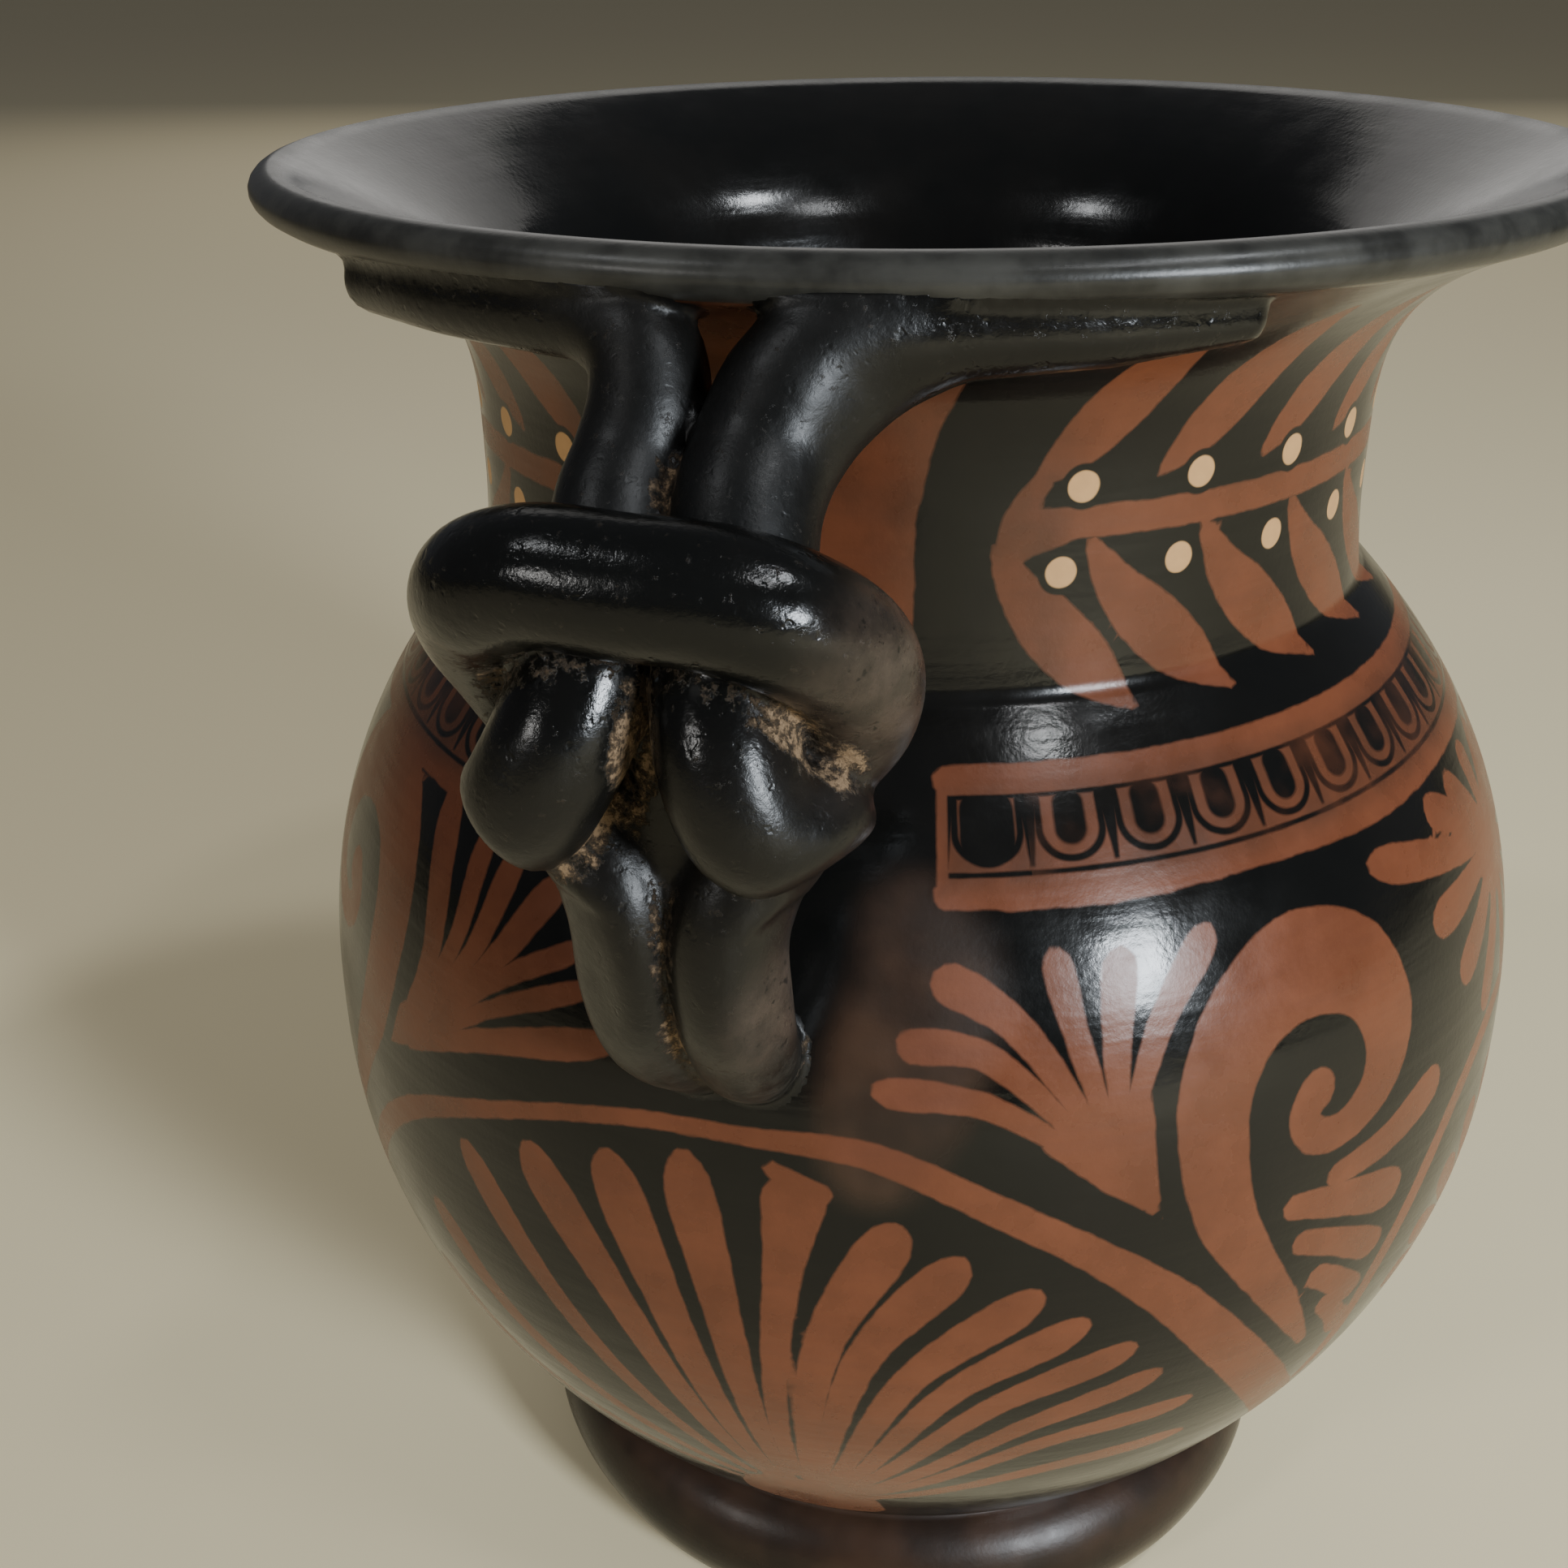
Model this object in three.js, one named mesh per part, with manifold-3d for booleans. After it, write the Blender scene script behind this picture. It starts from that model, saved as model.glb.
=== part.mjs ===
// Squat red-figure olpe with one handle tied in a Herakles (reef) knot.
// Millimetres, +Z up. The vessel stands on its ring foot at z = 0, the handle
// points to -Y, and the origin lies on the table under the middle of the whole.
import * as THREE from 'three';
import { mergeVertices } from 'three/addons/utils/BufferGeometryUtils.js';
import Module from 'manifold-3d';

// Foot
const footHeight = 18;
const footRadius = 50.5;
const footRoll = 8; // how far the foot swells past the ring it is turned from
const ringInnerRadius = 35;
const ringBevel = 2;
const recessDepth = 7;
const floorThickness = 7;

// Body and neck
const wall = 4.8;
const bodyRadius = 72.5;
const bodyFootRadius = 45;
const bellyHeight = 58; // from the foot to the widest place
const shoulderHeight = 54.5; // from the widest place to the neck
const neckRadius = 49.5;
const shoulderRadius = 50.3;
const waistRise = 11; // from the shoulder to the narrowest place of the neck
const neckFlare = 28.8; // from the narrowest place to the underside of the lip
const bellyPower = 2.1;
const shoulderPower = 2.5;
const flarePower = 4.2;
const throatPower = 3.4;
const floorCove = 14; // height of the rounded corner inside
const floorCoveReach = 18;

// Lip
const lipRadius = 70.6;
const lipThickness = 4.2;
const lipCrestInset = 2.8;
const lipEdgeInset = 1.8;

// Handle: rolled coils of clay
const coilRadius = 5.3;
const bandRadius = 5.3;
const stemRadius = 4.6;
const branchRadius = 4.2;
const branchAngle = 35; // degrees round the lip from the handle to each blunt end
const branchInset = 4.4; // from the lip's edge in to the branches
const strandHalfGap = 5.7; // from the handle's middle to each upper strand
const stemHalfGap = 4.7;
const footHalfGap = 3.1;
const loopHalfWidth = 14.5; // of the front loop
const lobeHalfWidth = 11.2; // of the rear loop
const knotStandOff = 16.5; // from the belly's widest radius to the middle of the front loop
const knotHeight = 154.3; // of the front loop above the table
const knotDrop = 26.8; // from the front loop down to the rear loop
const stemFootHeight = 102;
const knotShift = -0.6; // the knot sits a little to the left
const loopTilt = 0.12; // its front loop leans down to the right
const rearTilt = 0.08; // and its rear loop down to the left

// Fineness of the facets
const turns = 60;
const coilSides = 10;
const coilStep = 3.4;

const bodyBase = footHeight;
const bellyZ = bodyBase + bellyHeight;
const shoulderZ = bellyZ + shoulderHeight;
const waistZ = shoulderZ + waistRise;
const lipUnderZ = waistZ + neckFlare;
const rimZ = lipUnderZ + lipThickness;
const floorZ = recessDepth + floorThickness;

const mix = (a, b, t) => a + (b - a) * t;
const point = (r, z) => new THREE.Vector2(r, z);

// Outer radius of the body and neck at height z
function outerRadius(z) {
  if (z <= bellyZ) {
    const t = (bellyZ - z) / bellyHeight;
    return bodyRadius - (bodyRadius - bodyFootRadius) * t ** bellyPower;
  }
  if (z <= shoulderZ) {
    const t = (z - bellyZ) / shoulderHeight;
    return bodyRadius - (bodyRadius - shoulderRadius) * t ** shoulderPower;
  }
  if (z <= waistZ) {
    const t = (waistZ - z) / waistRise;
    return neckRadius + (shoulderRadius - neckRadius) * t ** 2;
  }
  const t = (z - waistZ) / neckFlare;
  return neckRadius + (lipRadius - lipEdgeInset - neckRadius) * t ** flarePower;
}

// Radius of the throat's inner surface, from the waist up to the lip's crest
function throatRadius(z) {
  const t = (z - waistZ) / (rimZ - waistZ);
  const waist = neckRadius - wall;
  return waist + (lipRadius - lipCrestInset - waist) * t ** throatPower;
}

// Heights on the way from one level to another; a power under 1 crowds them towards the end
const levels = (from, to, count, power = 1) =>
  Array.from({ length: count }, (_, i) => mix(from, to, ((i + 1) / count) ** power));

// The section of the hollow vessel, from the axis under the foot round to the axis inside
function vesselProfile() {
  const profile = [point(0, recessDepth), point(ringInnerRadius - ringBevel, recessDepth)];
  const follow = (heights, radius) => heights.forEach((z) => profile.push(point(radius(z), z)));
  const inner = (z) => outerRadius(z) - wall;

  profile.push(point(ringInnerRadius, 0));
  const rollSteps = 6;
  for (let i = 0; i <= rollSteps; i++) {
    const angle = mix(-Math.PI / 2, Math.PI * 0.42, i / rollSteps);
    const r = footRadius - footRoll * (1 - Math.cos(angle));
    profile.push(point(r, (footHeight / 2) * (1 + Math.sin(angle))));
  }
  follow(levels(bodyBase, bellyZ, 6), outerRadius);
  follow(levels(bellyZ, shoulderZ, 7, 0.8), outerRadius);
  follow(levels(shoulderZ, waistZ, 1), outerRadius);
  follow(levels(waistZ, lipUnderZ, 6, 0.55), outerRadius);
  profile.push(point(lipRadius, mix(lipUnderZ, rimZ, 0.45)));
  profile.push(point(lipRadius - lipCrestInset / 2, mix(lipUnderZ, rimZ, 0.9)));
  profile.push(point(lipRadius - lipCrestInset, rimZ));
  follow(levels(rimZ, waistZ, 5, 1.6), throatRadius);
  follow(levels(waistZ, shoulderZ, 1), inner);
  follow(levels(shoulderZ, bellyZ, 5, 1.2), inner);
  const coveZ = floorZ + floorCove;
  follow(levels(bellyZ, coveZ, 4), inner);
  const coveSteps = 3;
  for (let i = 1; i <= coveSteps; i++) {
    const angle = (i / coveSteps) * (Math.PI / 2);
    const r = inner(coveZ) - floorCoveReach * (1 - Math.cos(angle));
    profile.push(point(r, coveZ - floorCove * Math.sin(angle)));
  }
  profile.push(point(0, floorZ));
  return profile;
}

const vessel = () => new THREE.LatheGeometry(vesselProfile(), turns).rotateX(Math.PI / 2);

// A place on the handle: to its right, out from the vessel's axis, and up
const place = (side, out, z) => new THREE.Vector3(side, -out, z);
const knotPlace = (side, out, z) => place(side + knotShift, out, z);
const loopPlace = (side, out, z) => knotPlace(side, out, z - loopTilt * side);
const rearPlace = (side, out, z) => knotPlace(side, out, z + rearTilt * side);

const front = bodyRadius + knotStandOff;
const rear = knotHeight - knotDrop;
const lipLine = lipRadius - branchInset;
const branchZ = lipUnderZ - branchRadius * 0.6;

// Depths behind the front loop are counted in coils, and heights below it in knot drops
const behind = (coils) => front - coils * coilRadius;
const below = (drops) => knotHeight - drops * knotDrop;

// A tapered coil of clay along a smooth curve: a tube of unit radius, swelled at each station
function coil(points, radii) {
  const curve = new THREE.CatmullRomCurve3(points, false, 'centripetal');
  const steps = Math.round(curve.getLength() / coilStep);
  const circle = new THREE.Shape().absarc(0, 0, 1, 0, Math.PI * 2, false);
  const tube = new THREE.ExtrudeGeometry(circle, {
    steps,
    curveSegments: coilSides / 2,
    extrudePath: curve,
  });
  const stations = curve.getSpacedPoints(steps);
  const radiusAt = (share) => {
    const slot = share * (radii.length - 1);
    const low = Math.min(Math.floor(slot), radii.length - 2);
    return mix(radii[low], radii[low + 1], slot - low);
  };
  const position = tube.attributes.position;
  const vertex = new THREE.Vector3();
  for (let i = 0; i < position.count; i++) {
    vertex.fromBufferAttribute(position, i);
    const misses = stations.map((station) => Math.abs(station.distanceTo(vertex) - 1));
    const at = misses.indexOf(Math.min(...misses));
    vertex.sub(stations[at]).multiplyScalar(radiusAt(at / steps)).add(stations[at]);
    position.setXYZ(i, vertex.x, vertex.y, vertex.z);
  }
  return tube;
}

// Half of the upper coil: along the lip, down beside its twin, under the front loop, out over
// the stems as a lobe, and round behind them
function upperHalf(hand) {
  const onLip = (share) => {
    const angle = THREE.MathUtils.degToRad(branchAngle * share);
    return place(hand * lipLine * Math.sin(angle), lipLine * Math.cos(angle), branchZ);
  };
  const bendOut = lipLine + coilRadius * 0.68;
  const bendZ = branchZ - coilRadius * 0.85;
  return [
    onLip(1),
    onLip(0.72),
    onLip(0.42),
    onLip(0.2),
    place(hand * strandHalfGap * 1.1, bendOut, bendZ),
    place(hand * strandHalfGap, mix(bendOut, behind(2), 0.46), mix(bendZ, below(0.11), 0.38)),
    knotPlace(hand * strandHalfGap, behind(2), below(0.11)),
    knotPlace(hand * strandHalfGap * 1.04, behind(1.02), below(0.34)),
    knotPlace(hand * mix(strandHalfGap, lobeHalfWidth, 0.25), behind(0.5), below(0.52)),
    knotPlace(hand * lobeHalfWidth * 0.79, behind(0.5), below(0.69)),
    rearPlace(hand * lobeHalfWidth, behind(1.13), below(0.78)),
    rearPlace(hand * lobeHalfWidth * 0.87, behind(2.17), below(0.93)),
    rearPlace(hand * lobeHalfWidth * 0.5, behind(2.92), rear),
  ];
}

// Half of the lower coil: up from the belly, under the lobes, out, and round the strands
function lowerHalf(hand) {
  const rootOut = outerRadius(stemFootHeight);
  return [
    knotPlace(hand * footHalfGap, rootOut, stemFootHeight),
    knotPlace(hand * stemHalfGap * 0.87, mix(rootOut, behind(1.62), 0.54), below(1.74)),
    knotPlace(hand * stemHalfGap, behind(1.62), below(1.455)),
    knotPlace(hand * stemHalfGap, behind(1.4), below(1.16)),
    knotPlace(hand * mix(stemHalfGap, loopHalfWidth, 0.25), behind(1.81), below(0.88)),
    knotPlace(hand * loopHalfWidth * 0.72, behind(2.19), below(0.63)),
    loopPlace(hand * loopHalfWidth * 0.94, behind(2.08), below(0.39)),
    loopPlace(hand * loopHalfWidth, behind(1.32), below(0.17)),
    loopPlace(hand * loopHalfWidth * 0.78, behind(0.34), below(0.02)),
    loopPlace(hand * loopHalfWidth * 0.45, front, below(-0.02)),
  ];
}

// Both halves of a coil about the point where they meet, thickening from ends to middle
function wholeCoil(half, middle, radii) {
  const points = [...half(-1), middle, ...half(1).reverse()];
  return coil(points, [...radii, ...radii.slice().reverse()]);
}

const upperCoil = () =>
  wholeCoil(upperHalf, knotPlace(0, behind(3.13), below(1.015)), [
    branchRadius, branchRadius, coilRadius, coilRadius, coilRadius,
  ]);

const lowerCoil = () =>
  wholeCoil(lowerHalf, loopPlace(0, behind(-0.09), below(-0.02)), [
    stemRadius, stemRadius, bandRadius, bandRadius,
  ]);

const wasm = await Module();
wasm.setup();

function solid(geometry) {
  delete geometry.attributes.normal;
  delete geometry.attributes.uv;
  const merged = mergeVertices(geometry, 1e-4);
  return new wasm.Manifold(new wasm.Mesh({
    numProp: 3,
    vertProperties: merged.attributes.position.array,
    triVerts: Uint32Array.from(merged.index.array),
  }));
}

// One fired piece: the thrown vessel with both coils of the handle luted on
function firedClay() {
  const mesh = solid(vessel()).add(solid(upperCoil())).add(solid(lowerCoil())).getMesh();
  const geometry = new THREE.BufferGeometry();
  geometry.setAttribute('position', new THREE.BufferAttribute(mesh.vertProperties, 3));
  geometry.setIndex(new THREE.BufferAttribute(mesh.triVerts, 1));
  geometry.computeVertexNormals();
  return geometry;
}

const gloss = new THREE.MeshStandardMaterial({ color: 0x1f1d1b, roughness: 0.3, metalness: 0 });

const olpe = new THREE.Mesh(firedClay(), gloss);
olpe.name = 'olpe';
olpe.geometry.computeBoundingBox();
const middle = olpe.geometry.boundingBox.getCenter(new THREE.Vector3());
olpe.position.set(-middle.x, -middle.y, 0);

const group = new THREE.Group();
group.add(olpe);

export default group;
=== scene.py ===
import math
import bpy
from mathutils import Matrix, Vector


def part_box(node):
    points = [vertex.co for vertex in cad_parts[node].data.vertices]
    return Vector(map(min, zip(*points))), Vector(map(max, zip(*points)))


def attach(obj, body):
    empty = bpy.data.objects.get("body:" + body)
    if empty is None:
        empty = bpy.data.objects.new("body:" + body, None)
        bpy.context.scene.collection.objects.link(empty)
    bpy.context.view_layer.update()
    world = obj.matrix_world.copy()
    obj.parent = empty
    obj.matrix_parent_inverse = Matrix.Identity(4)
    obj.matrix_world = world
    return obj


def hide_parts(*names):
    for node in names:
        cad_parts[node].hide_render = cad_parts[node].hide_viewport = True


bl_info = {
    "name": "Red-figure olpe",
    "version": (1, 0, 0),
    "blender": (4, 5, 0),
    "location": "3D View > Sidebar > Olpe",
    "description": "Squat painted olpe with a handle tied in a Herakles knot",
    "category": "Add Mesh",
}

import bpy
import numpy as np
from bpy.props import FloatProperty, FloatVectorProperty, PointerProperty
from mathutils import Matrix, Vector

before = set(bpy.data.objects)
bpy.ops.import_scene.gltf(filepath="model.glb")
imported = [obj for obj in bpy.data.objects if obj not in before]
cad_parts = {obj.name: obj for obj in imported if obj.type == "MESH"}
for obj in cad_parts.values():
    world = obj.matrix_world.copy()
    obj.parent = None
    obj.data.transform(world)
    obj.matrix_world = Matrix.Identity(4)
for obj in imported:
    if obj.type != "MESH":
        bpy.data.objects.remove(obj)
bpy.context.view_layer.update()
NODE = "olpe"
MM = 0.001
LOW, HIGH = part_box(NODE)
BODY_RADIUS = (HIGH.x - LOW.x) / 2
AXIS_Y = HIGH.y - BODY_RADIUS

# The section's heights, in millimetres above the table
FOOT_TOP = 18.0
BELLY = 76.0
SHOULDER = 130.5
WAIST = 141.5
LIP_UNDER = 170.3
RING_INNER = 35.0
RECESS = 7.0
FLOOR = 14.0
COVE = 14.0
COVE_REACH = 18.0
FOOT_ROLL = 8.0
RING_LEDGE = 32.0
RING_BEVEL = 1.5
RING_STAND = 35.3
BODY_FOOT_RADIUS = 45.0
SHOULDER_RADIUS = 50.3
LIP_THICKNESS = 4.2
CREST_INSET = 2.8
EDGE_INSET = 1.8
BELLY_POWER = 2.1
SHOULDER_POWER = 2.5
FLARE_POWER = 4.2
THROAT_POWER = 3.4

# Colours that the materials mix in by themselves
CLOUDED_GLOSS = (0.0085, 0.0072, 0.006)
# The lip crest's grey: worn gloss, and partly a painted sheen of the light from above
WORN_AND_SHEEN_CREST = (0.040, 0.039, 0.034)
RUBBED_GLOSS = (0.044, 0.032, 0.024)
GREYED_GLOSS = (0.036, 0.033, 0.027)
STREAKED_CLAY = (0.085, 0.028, 0.015)
# The wash colour: a real thin wash on the egg band, and also painted shade behind the handle
WASH_AND_SHADE_CLAY = (0.048, 0.0205, 0.0115)

# How finely the surfaces are cut, in millimetres and degrees
RING_STEP = 1.06
FRONT_TURN = 0.85
BACK_TURN = 1.36
FRONT_REACH = 92.0
HANDLE_GRID = 0.68


def mix(a, b, t):
    return a + (b - a) * t


def smooth_step(low, high, x):
    t = np.clip((np.asarray(x) - low) / (high - low), 0.0, 1.0)
    return t * t * (3 - 2 * t)


class OlpeSizes(bpy.types.PropertyGroup):
    body_radius: FloatProperty(
        name="Body radius",
        description="Radius of the body at its widest",
        default=BODY_RADIUS,
        unit="LENGTH",
    )
    lip_radius: FloatProperty(
        name="Lip radius",
        description="Radius of the lip's outer edge",
        default=0.0706,
        unit="LENGTH",
    )
    neck_radius: FloatProperty(
        name="Neck radius",
        description="Radius of the neck at its narrowest",
        default=0.0495,
        unit="LENGTH",
    )
    foot_radius: FloatProperty(
        name="Foot radius",
        description="Radius of the turned foot",
        default=0.0505,
        unit="LENGTH",
    )
    wall: FloatProperty(
        name="Wall",
        description="Thickness of the thrown wall",
        default=0.0048,
        unit="LENGTH",
    )
    coil_radius: FloatProperty(
        name="Coil radius",
        description="Radius of the handle's rolled coils",
        default=0.0053,
        unit="LENGTH",
    )
    knot_height: FloatProperty(
        name="Knot height",
        description="Height of the knot's front loop above the table",
        default=0.1543,
        unit="LENGTH",
    )
    knot_stand_off: FloatProperty(
        name="Knot stand-off",
        description="From the belly's radius out to the middle of the front loop",
        default=0.0165,
        unit="LENGTH",
    )


class OlpeColours(bpy.types.PropertyGroup):
    gloss: FloatVectorProperty(
        name="Black gloss",
        description="Colour of the fired gloss where it is thick",
        default=(0.0032, 0.0033, 0.0031),
        size=3,
        subtype="COLOR",
    )
    thin_gloss: FloatVectorProperty(
        name="Thin gloss",
        description="Colour of the gloss where it is thin or misfired",
        default=(0.043, 0.0225, 0.0135),
        size=3,
        subtype="COLOR",
    )
    clay: FloatVectorProperty(
        name="Red clay",
        description="Colour of the reserved clay in the painted pattern",
        default=(0.128, 0.041, 0.0185),
        size=3,
        subtype="COLOR",
    )
    cream: FloatVectorProperty(
        name="Added cream",
        description="Colour of the berries on the laurel",
        default=(0.46, 0.265, 0.115),
        size=3,
        subtype="COLOR",
    )
    residue: FloatVectorProperty(
        name="Burial residue",
        description="Colour of the pale soil left in the handle's creases",
        default=(0.20, 0.135, 0.08),
        size=3,
        subtype="COLOR",
    )
    floor: FloatVectorProperty(
        name="Floor",
        description="Colour of the plain floor",
        default=(0.80, 0.69, 0.44),
        size=3,
        subtype="COLOR",
    )


class Sizes:
    """The user's sizes in millimetres, and what follows from them."""

    def __init__(self, props):
        for name in props.__annotations__:
            setattr(self, name, getattr(props, name) / MM)
        self.rim = LIP_UNDER + LIP_THICKNESS
        self.front = self.body_radius + self.knot_stand_off

    def outer(self, z):
        """Outer radius of the body and neck at height z."""
        z = np.asarray(z, float)
        low = np.clip((BELLY - z) / (BELLY - FOOT_TOP), 0, 1) ** BELLY_POWER
        high = np.clip((z - BELLY) / (SHOULDER - BELLY), 0, 1) ** SHOULDER_POWER
        waist = np.clip((WAIST - z) / (WAIST - SHOULDER), 0, 1) ** 2
        flare = np.clip((z - WAIST) / (LIP_UNDER - WAIST), 0, 1) ** FLARE_POWER
        body = self.body_radius - (self.body_radius - BODY_FOOT_RADIUS) * low
        body = body - (self.body_radius - SHOULDER_RADIUS) * high
        neck = self.neck_radius + (SHOULDER_RADIUS - self.neck_radius) * waist
        neck = neck + (self.lip_radius - EDGE_INSET - self.neck_radius) * flare
        return np.where(z <= SHOULDER, body, neck)

    def inner(self, z):
        return self.outer(z) - self.wall

    def throat(self, z):
        """Radius of the throat's inner surface from the waist to the crest."""
        t = np.clip((np.asarray(z, float) - WAIST) / (self.rim - WAIST), 0, 1)
        waist = self.neck_radius - self.wall
        return waist + (self.lip_radius - CREST_INSET - waist) * t**THROAT_POWER


def travel(points):
    """The length along a line up to each of its points."""
    return np.concatenate([[0], np.cumsum(np.linalg.norm(np.diff(points, axis=0), axis=1))])


def even(points, step):
    """The points of a line of (r, z), again at even steps along it."""
    points = np.asarray(points, float)
    length = travel(points)
    count = max(2, int(round(length[-1] / step)) + 1)
    at = np.linspace(0, length[-1], count)
    return np.stack([np.interp(at, length, points[:, k]) for k in (0, 1)], -1)


def bow(middle, reach, start, end, count):
    """Points (r, z) on an oval's rim, between two angles in degrees from outward."""
    a = np.radians(np.linspace(start, end, count))
    spots = zip(np.cos(a), np.sin(a))
    return [(middle[0] + reach[0] * c, middle[1] + reach[1] * s) for c, s in spots]


def section(sizes):
    """The hollow section as rings (r, z) with a zone each, from below round to the inside."""
    parts = []

    def add(zone, points, step):
        parts.append((zone, even(points, step)))

    add("under", [(0.0, RECESS), (RING_LEDGE, RECESS)], 6.0)
    cove = bow((RING_LEDGE, RECESS - RING_BEVEL), (RING_BEVEL, RING_BEVEL), 90, 0, 6)
    add("under", cove + [(RING_INNER - 0.4, 0.5), (RING_STAND, 0.0)], 1.2)
    roll = sizes.foot_radius - FOOT_ROLL
    add("under", [(RING_STAND, 0.0), (roll, 0.0)], 1.4)
    half = FOOT_TOP / 2
    add("foot", bow((roll, half), (FOOT_ROLL, half), -90, 76, 60), 1.3)
    for low, high, count in ((FOOT_TOP, SHOULDER, 1200), (SHOULDER, LIP_UNDER, 900)):
        z = np.linspace(low, high, count)
        add("wall", np.stack([sizes.outer(z), z], -1), RING_STEP)
    bulge, rise = CREST_INSET - 0.1, LIP_THICKNESS / 2
    middle = (sizes.lip_radius - bulge, LIP_UNDER + rise)
    add("lip", bow(middle, (bulge, rise), -58, 88, 40), 0.7)
    z = np.linspace(sizes.rim, WAIST, 600)
    add("inside", np.stack([sizes.throat(z), z], -1), 2.0)
    z = np.linspace(WAIST, FLOOR + COVE, 900)
    add("inside", np.stack([sizes.inner(z), z], -1), 5.0)
    corner = float(sizes.inner(FLOOR + COVE))
    sweep = bow((corner - COVE_REACH, FLOOR + COVE), (COVE_REACH, -COVE), 0, 90, 30)
    add("inside", sweep + [(0.0, FLOOR)], 4.5)

    rings, zones = [], []
    for zone, points in parts:
        for point in points:
            if rings and math.dist(rings[-1], point) < 0.2:
                continue
            rings.append(tuple(point))
            zones.append(zone)
    return np.array(rings), np.array(zones)


def turns():
    """Azimuths in degrees round the vessel, closer together in front; 0 is the handle."""
    front = np.arange(-FRONT_REACH, FRONT_REACH, FRONT_TURN)
    count = int((360 - 2 * FRONT_REACH) / BACK_TURN)
    back = np.linspace(FRONT_REACH, 360 - FRONT_REACH, count, endpoint=False)
    return np.concatenate([front, back])


def wrapped(degrees):
    return (np.asarray(degrees) + 180.0) % 360.0 - 180.0


def beside(p, a, b):
    """How far along from a to b each point of p lies, as a share, and its gap from the line."""
    way = b - a
    t = np.clip(((p - a) @ way) / max(way @ way, 1e-9), 0, 1)
    return t, np.linalg.norm(p - a - t[..., None] * way, axis=-1)


def route(points, step=1.0):
    """Even points along a centripetal Catmull-Rom curve through the given ones."""
    points = np.asarray(points, float)
    p = np.concatenate([[2 * points[0] - points[1]], points, [2 * points[-1] - points[-2]]])
    out = []
    for k in range(1, len(p) - 2):
        gaps = np.sqrt(np.linalg.norm(np.diff(p[k - 1 : k + 3], axis=0), axis=1))
        at = np.concatenate([[0], np.cumsum(gaps)])
        t = np.linspace(at[1], at[2], 16, endpoint=False)[:, None]
        q = p[k - 1 : k + 3]
        a = [mix(q[i], q[i + 1], (t - at[i]) / (at[i + 1] - at[i])) for i in range(3)]
        b = [mix(a[i], a[i + 1], (t - at[i]) / (at[i + 2] - at[i])) for i in range(2)]
        out.append(mix(b[0], b[1], (t - at[1]) / (at[2] - at[1])))
    curve = np.concatenate(out + [points[-1:]])
    length = travel(curve)
    at = np.linspace(0, length[-1], max(3, int(length[-1] / step) + 1))
    return np.stack([np.interp(at, length, column) for column in curve.T], -1)


FAR = 3.0


class Ground:
    """Points of the outer wall, to paint on: azimuth, height along the wall and radius."""

    def __init__(self, azimuth, arc, radius):
        self.azimuth = wrapped(azimuth)
        self.arc = arc
        self.radius = radius
        names = ("red_a", "red_b", "wash_and_shade", "thin")
        self.layers = {name: np.full(len(arc), -FAR) for name in names}

    def near(self, anchor, points, reach):
        """The wall's points about a motif, in millimetres right of and above its anchor."""
        u = np.radians(wrapped(self.azimuth - anchor[0])) * self.radius
        v = self.arc - anchor[1]
        low, high = points.min(0) - reach, points.max(0) + reach
        close = np.flatnonzero((u > low[0]) & (u < high[0]) & (v > low[1]) & (v < high[1]))
        return close, np.stack([u[close], v[close]], -1)

    def lay(self, layer, close, depth):
        values = self.layers[layer]
        values[close] = np.maximum(values[close], np.clip(depth, -FAR, FAR))

    def blade(self, layer, anchor, flip, spine, smooth=True):
        """A brush stroke through (right, up, half width), all in millimetres."""
        line = np.asarray(spine, float) * (flip, 1, 1)
        if smooth:
            line = route(line, 1.2)
        line, radii = line[:, :2], np.maximum(line[:, 2], 0.1)
        close, p = self.near(anchor, line, radii.max() + FAR)
        depth = radii[0] - np.linalg.norm(p - line[0], axis=1)
        for a, b, ra, rb in zip(line[:-1], line[1:], radii[:-1], radii[1:]):
            t, gap = beside(p, a, b)
            depth = np.maximum(depth, mix(ra, rb, t) - gap)
        self.lay(layer, close, depth)

    def patch(self, layer, anchor, flip, outline):
        """A filled shape inside an outline of (right, up)."""
        line = np.asarray(outline, float) * (flip, 1)
        close, p = self.near(anchor, line, FAR)
        inside = np.zeros(len(p), bool)
        gap = np.full(len(p), 1e9)
        for a, b in zip(line, np.roll(line, -1, axis=0)):
            gap = np.minimum(gap, beside(p, a, b)[1])
            spans = (a[1] > p[:, 1]) != (b[1] > p[:, 1])
            rise = b[1] - a[1] if b[1] != a[1] else 1e-9
            inside ^= spans & (p[:, 0] < a[0] + (b[0] - a[0]) * (p[:, 1] - a[1]) / rise)
        self.lay(layer, close, np.where(inside, gap, -gap))

    def fan(self, anchor, flip, petals, thin):
        """Petals given as (root, middle, tip, half width), in two layers by turns."""
        for k, (root, middle, tip, wide) in enumerate(petals):
            middle, tip = np.array(middle, float), np.array(tip, float)
            back = mix(middle, tip, 0.82)
            spine = [(*root, thin), (*middle, mix(thin, wide, 0.72)), (*back, wide)]
            end = tip - (tip - back) / max(np.linalg.norm(tip - back), 1e-6) * wide * 0.55
            spine.append((*end, wide * 0.6))
            self.blade("red_a" if k % 2 else "red_b", anchor, flip, spine)


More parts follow.
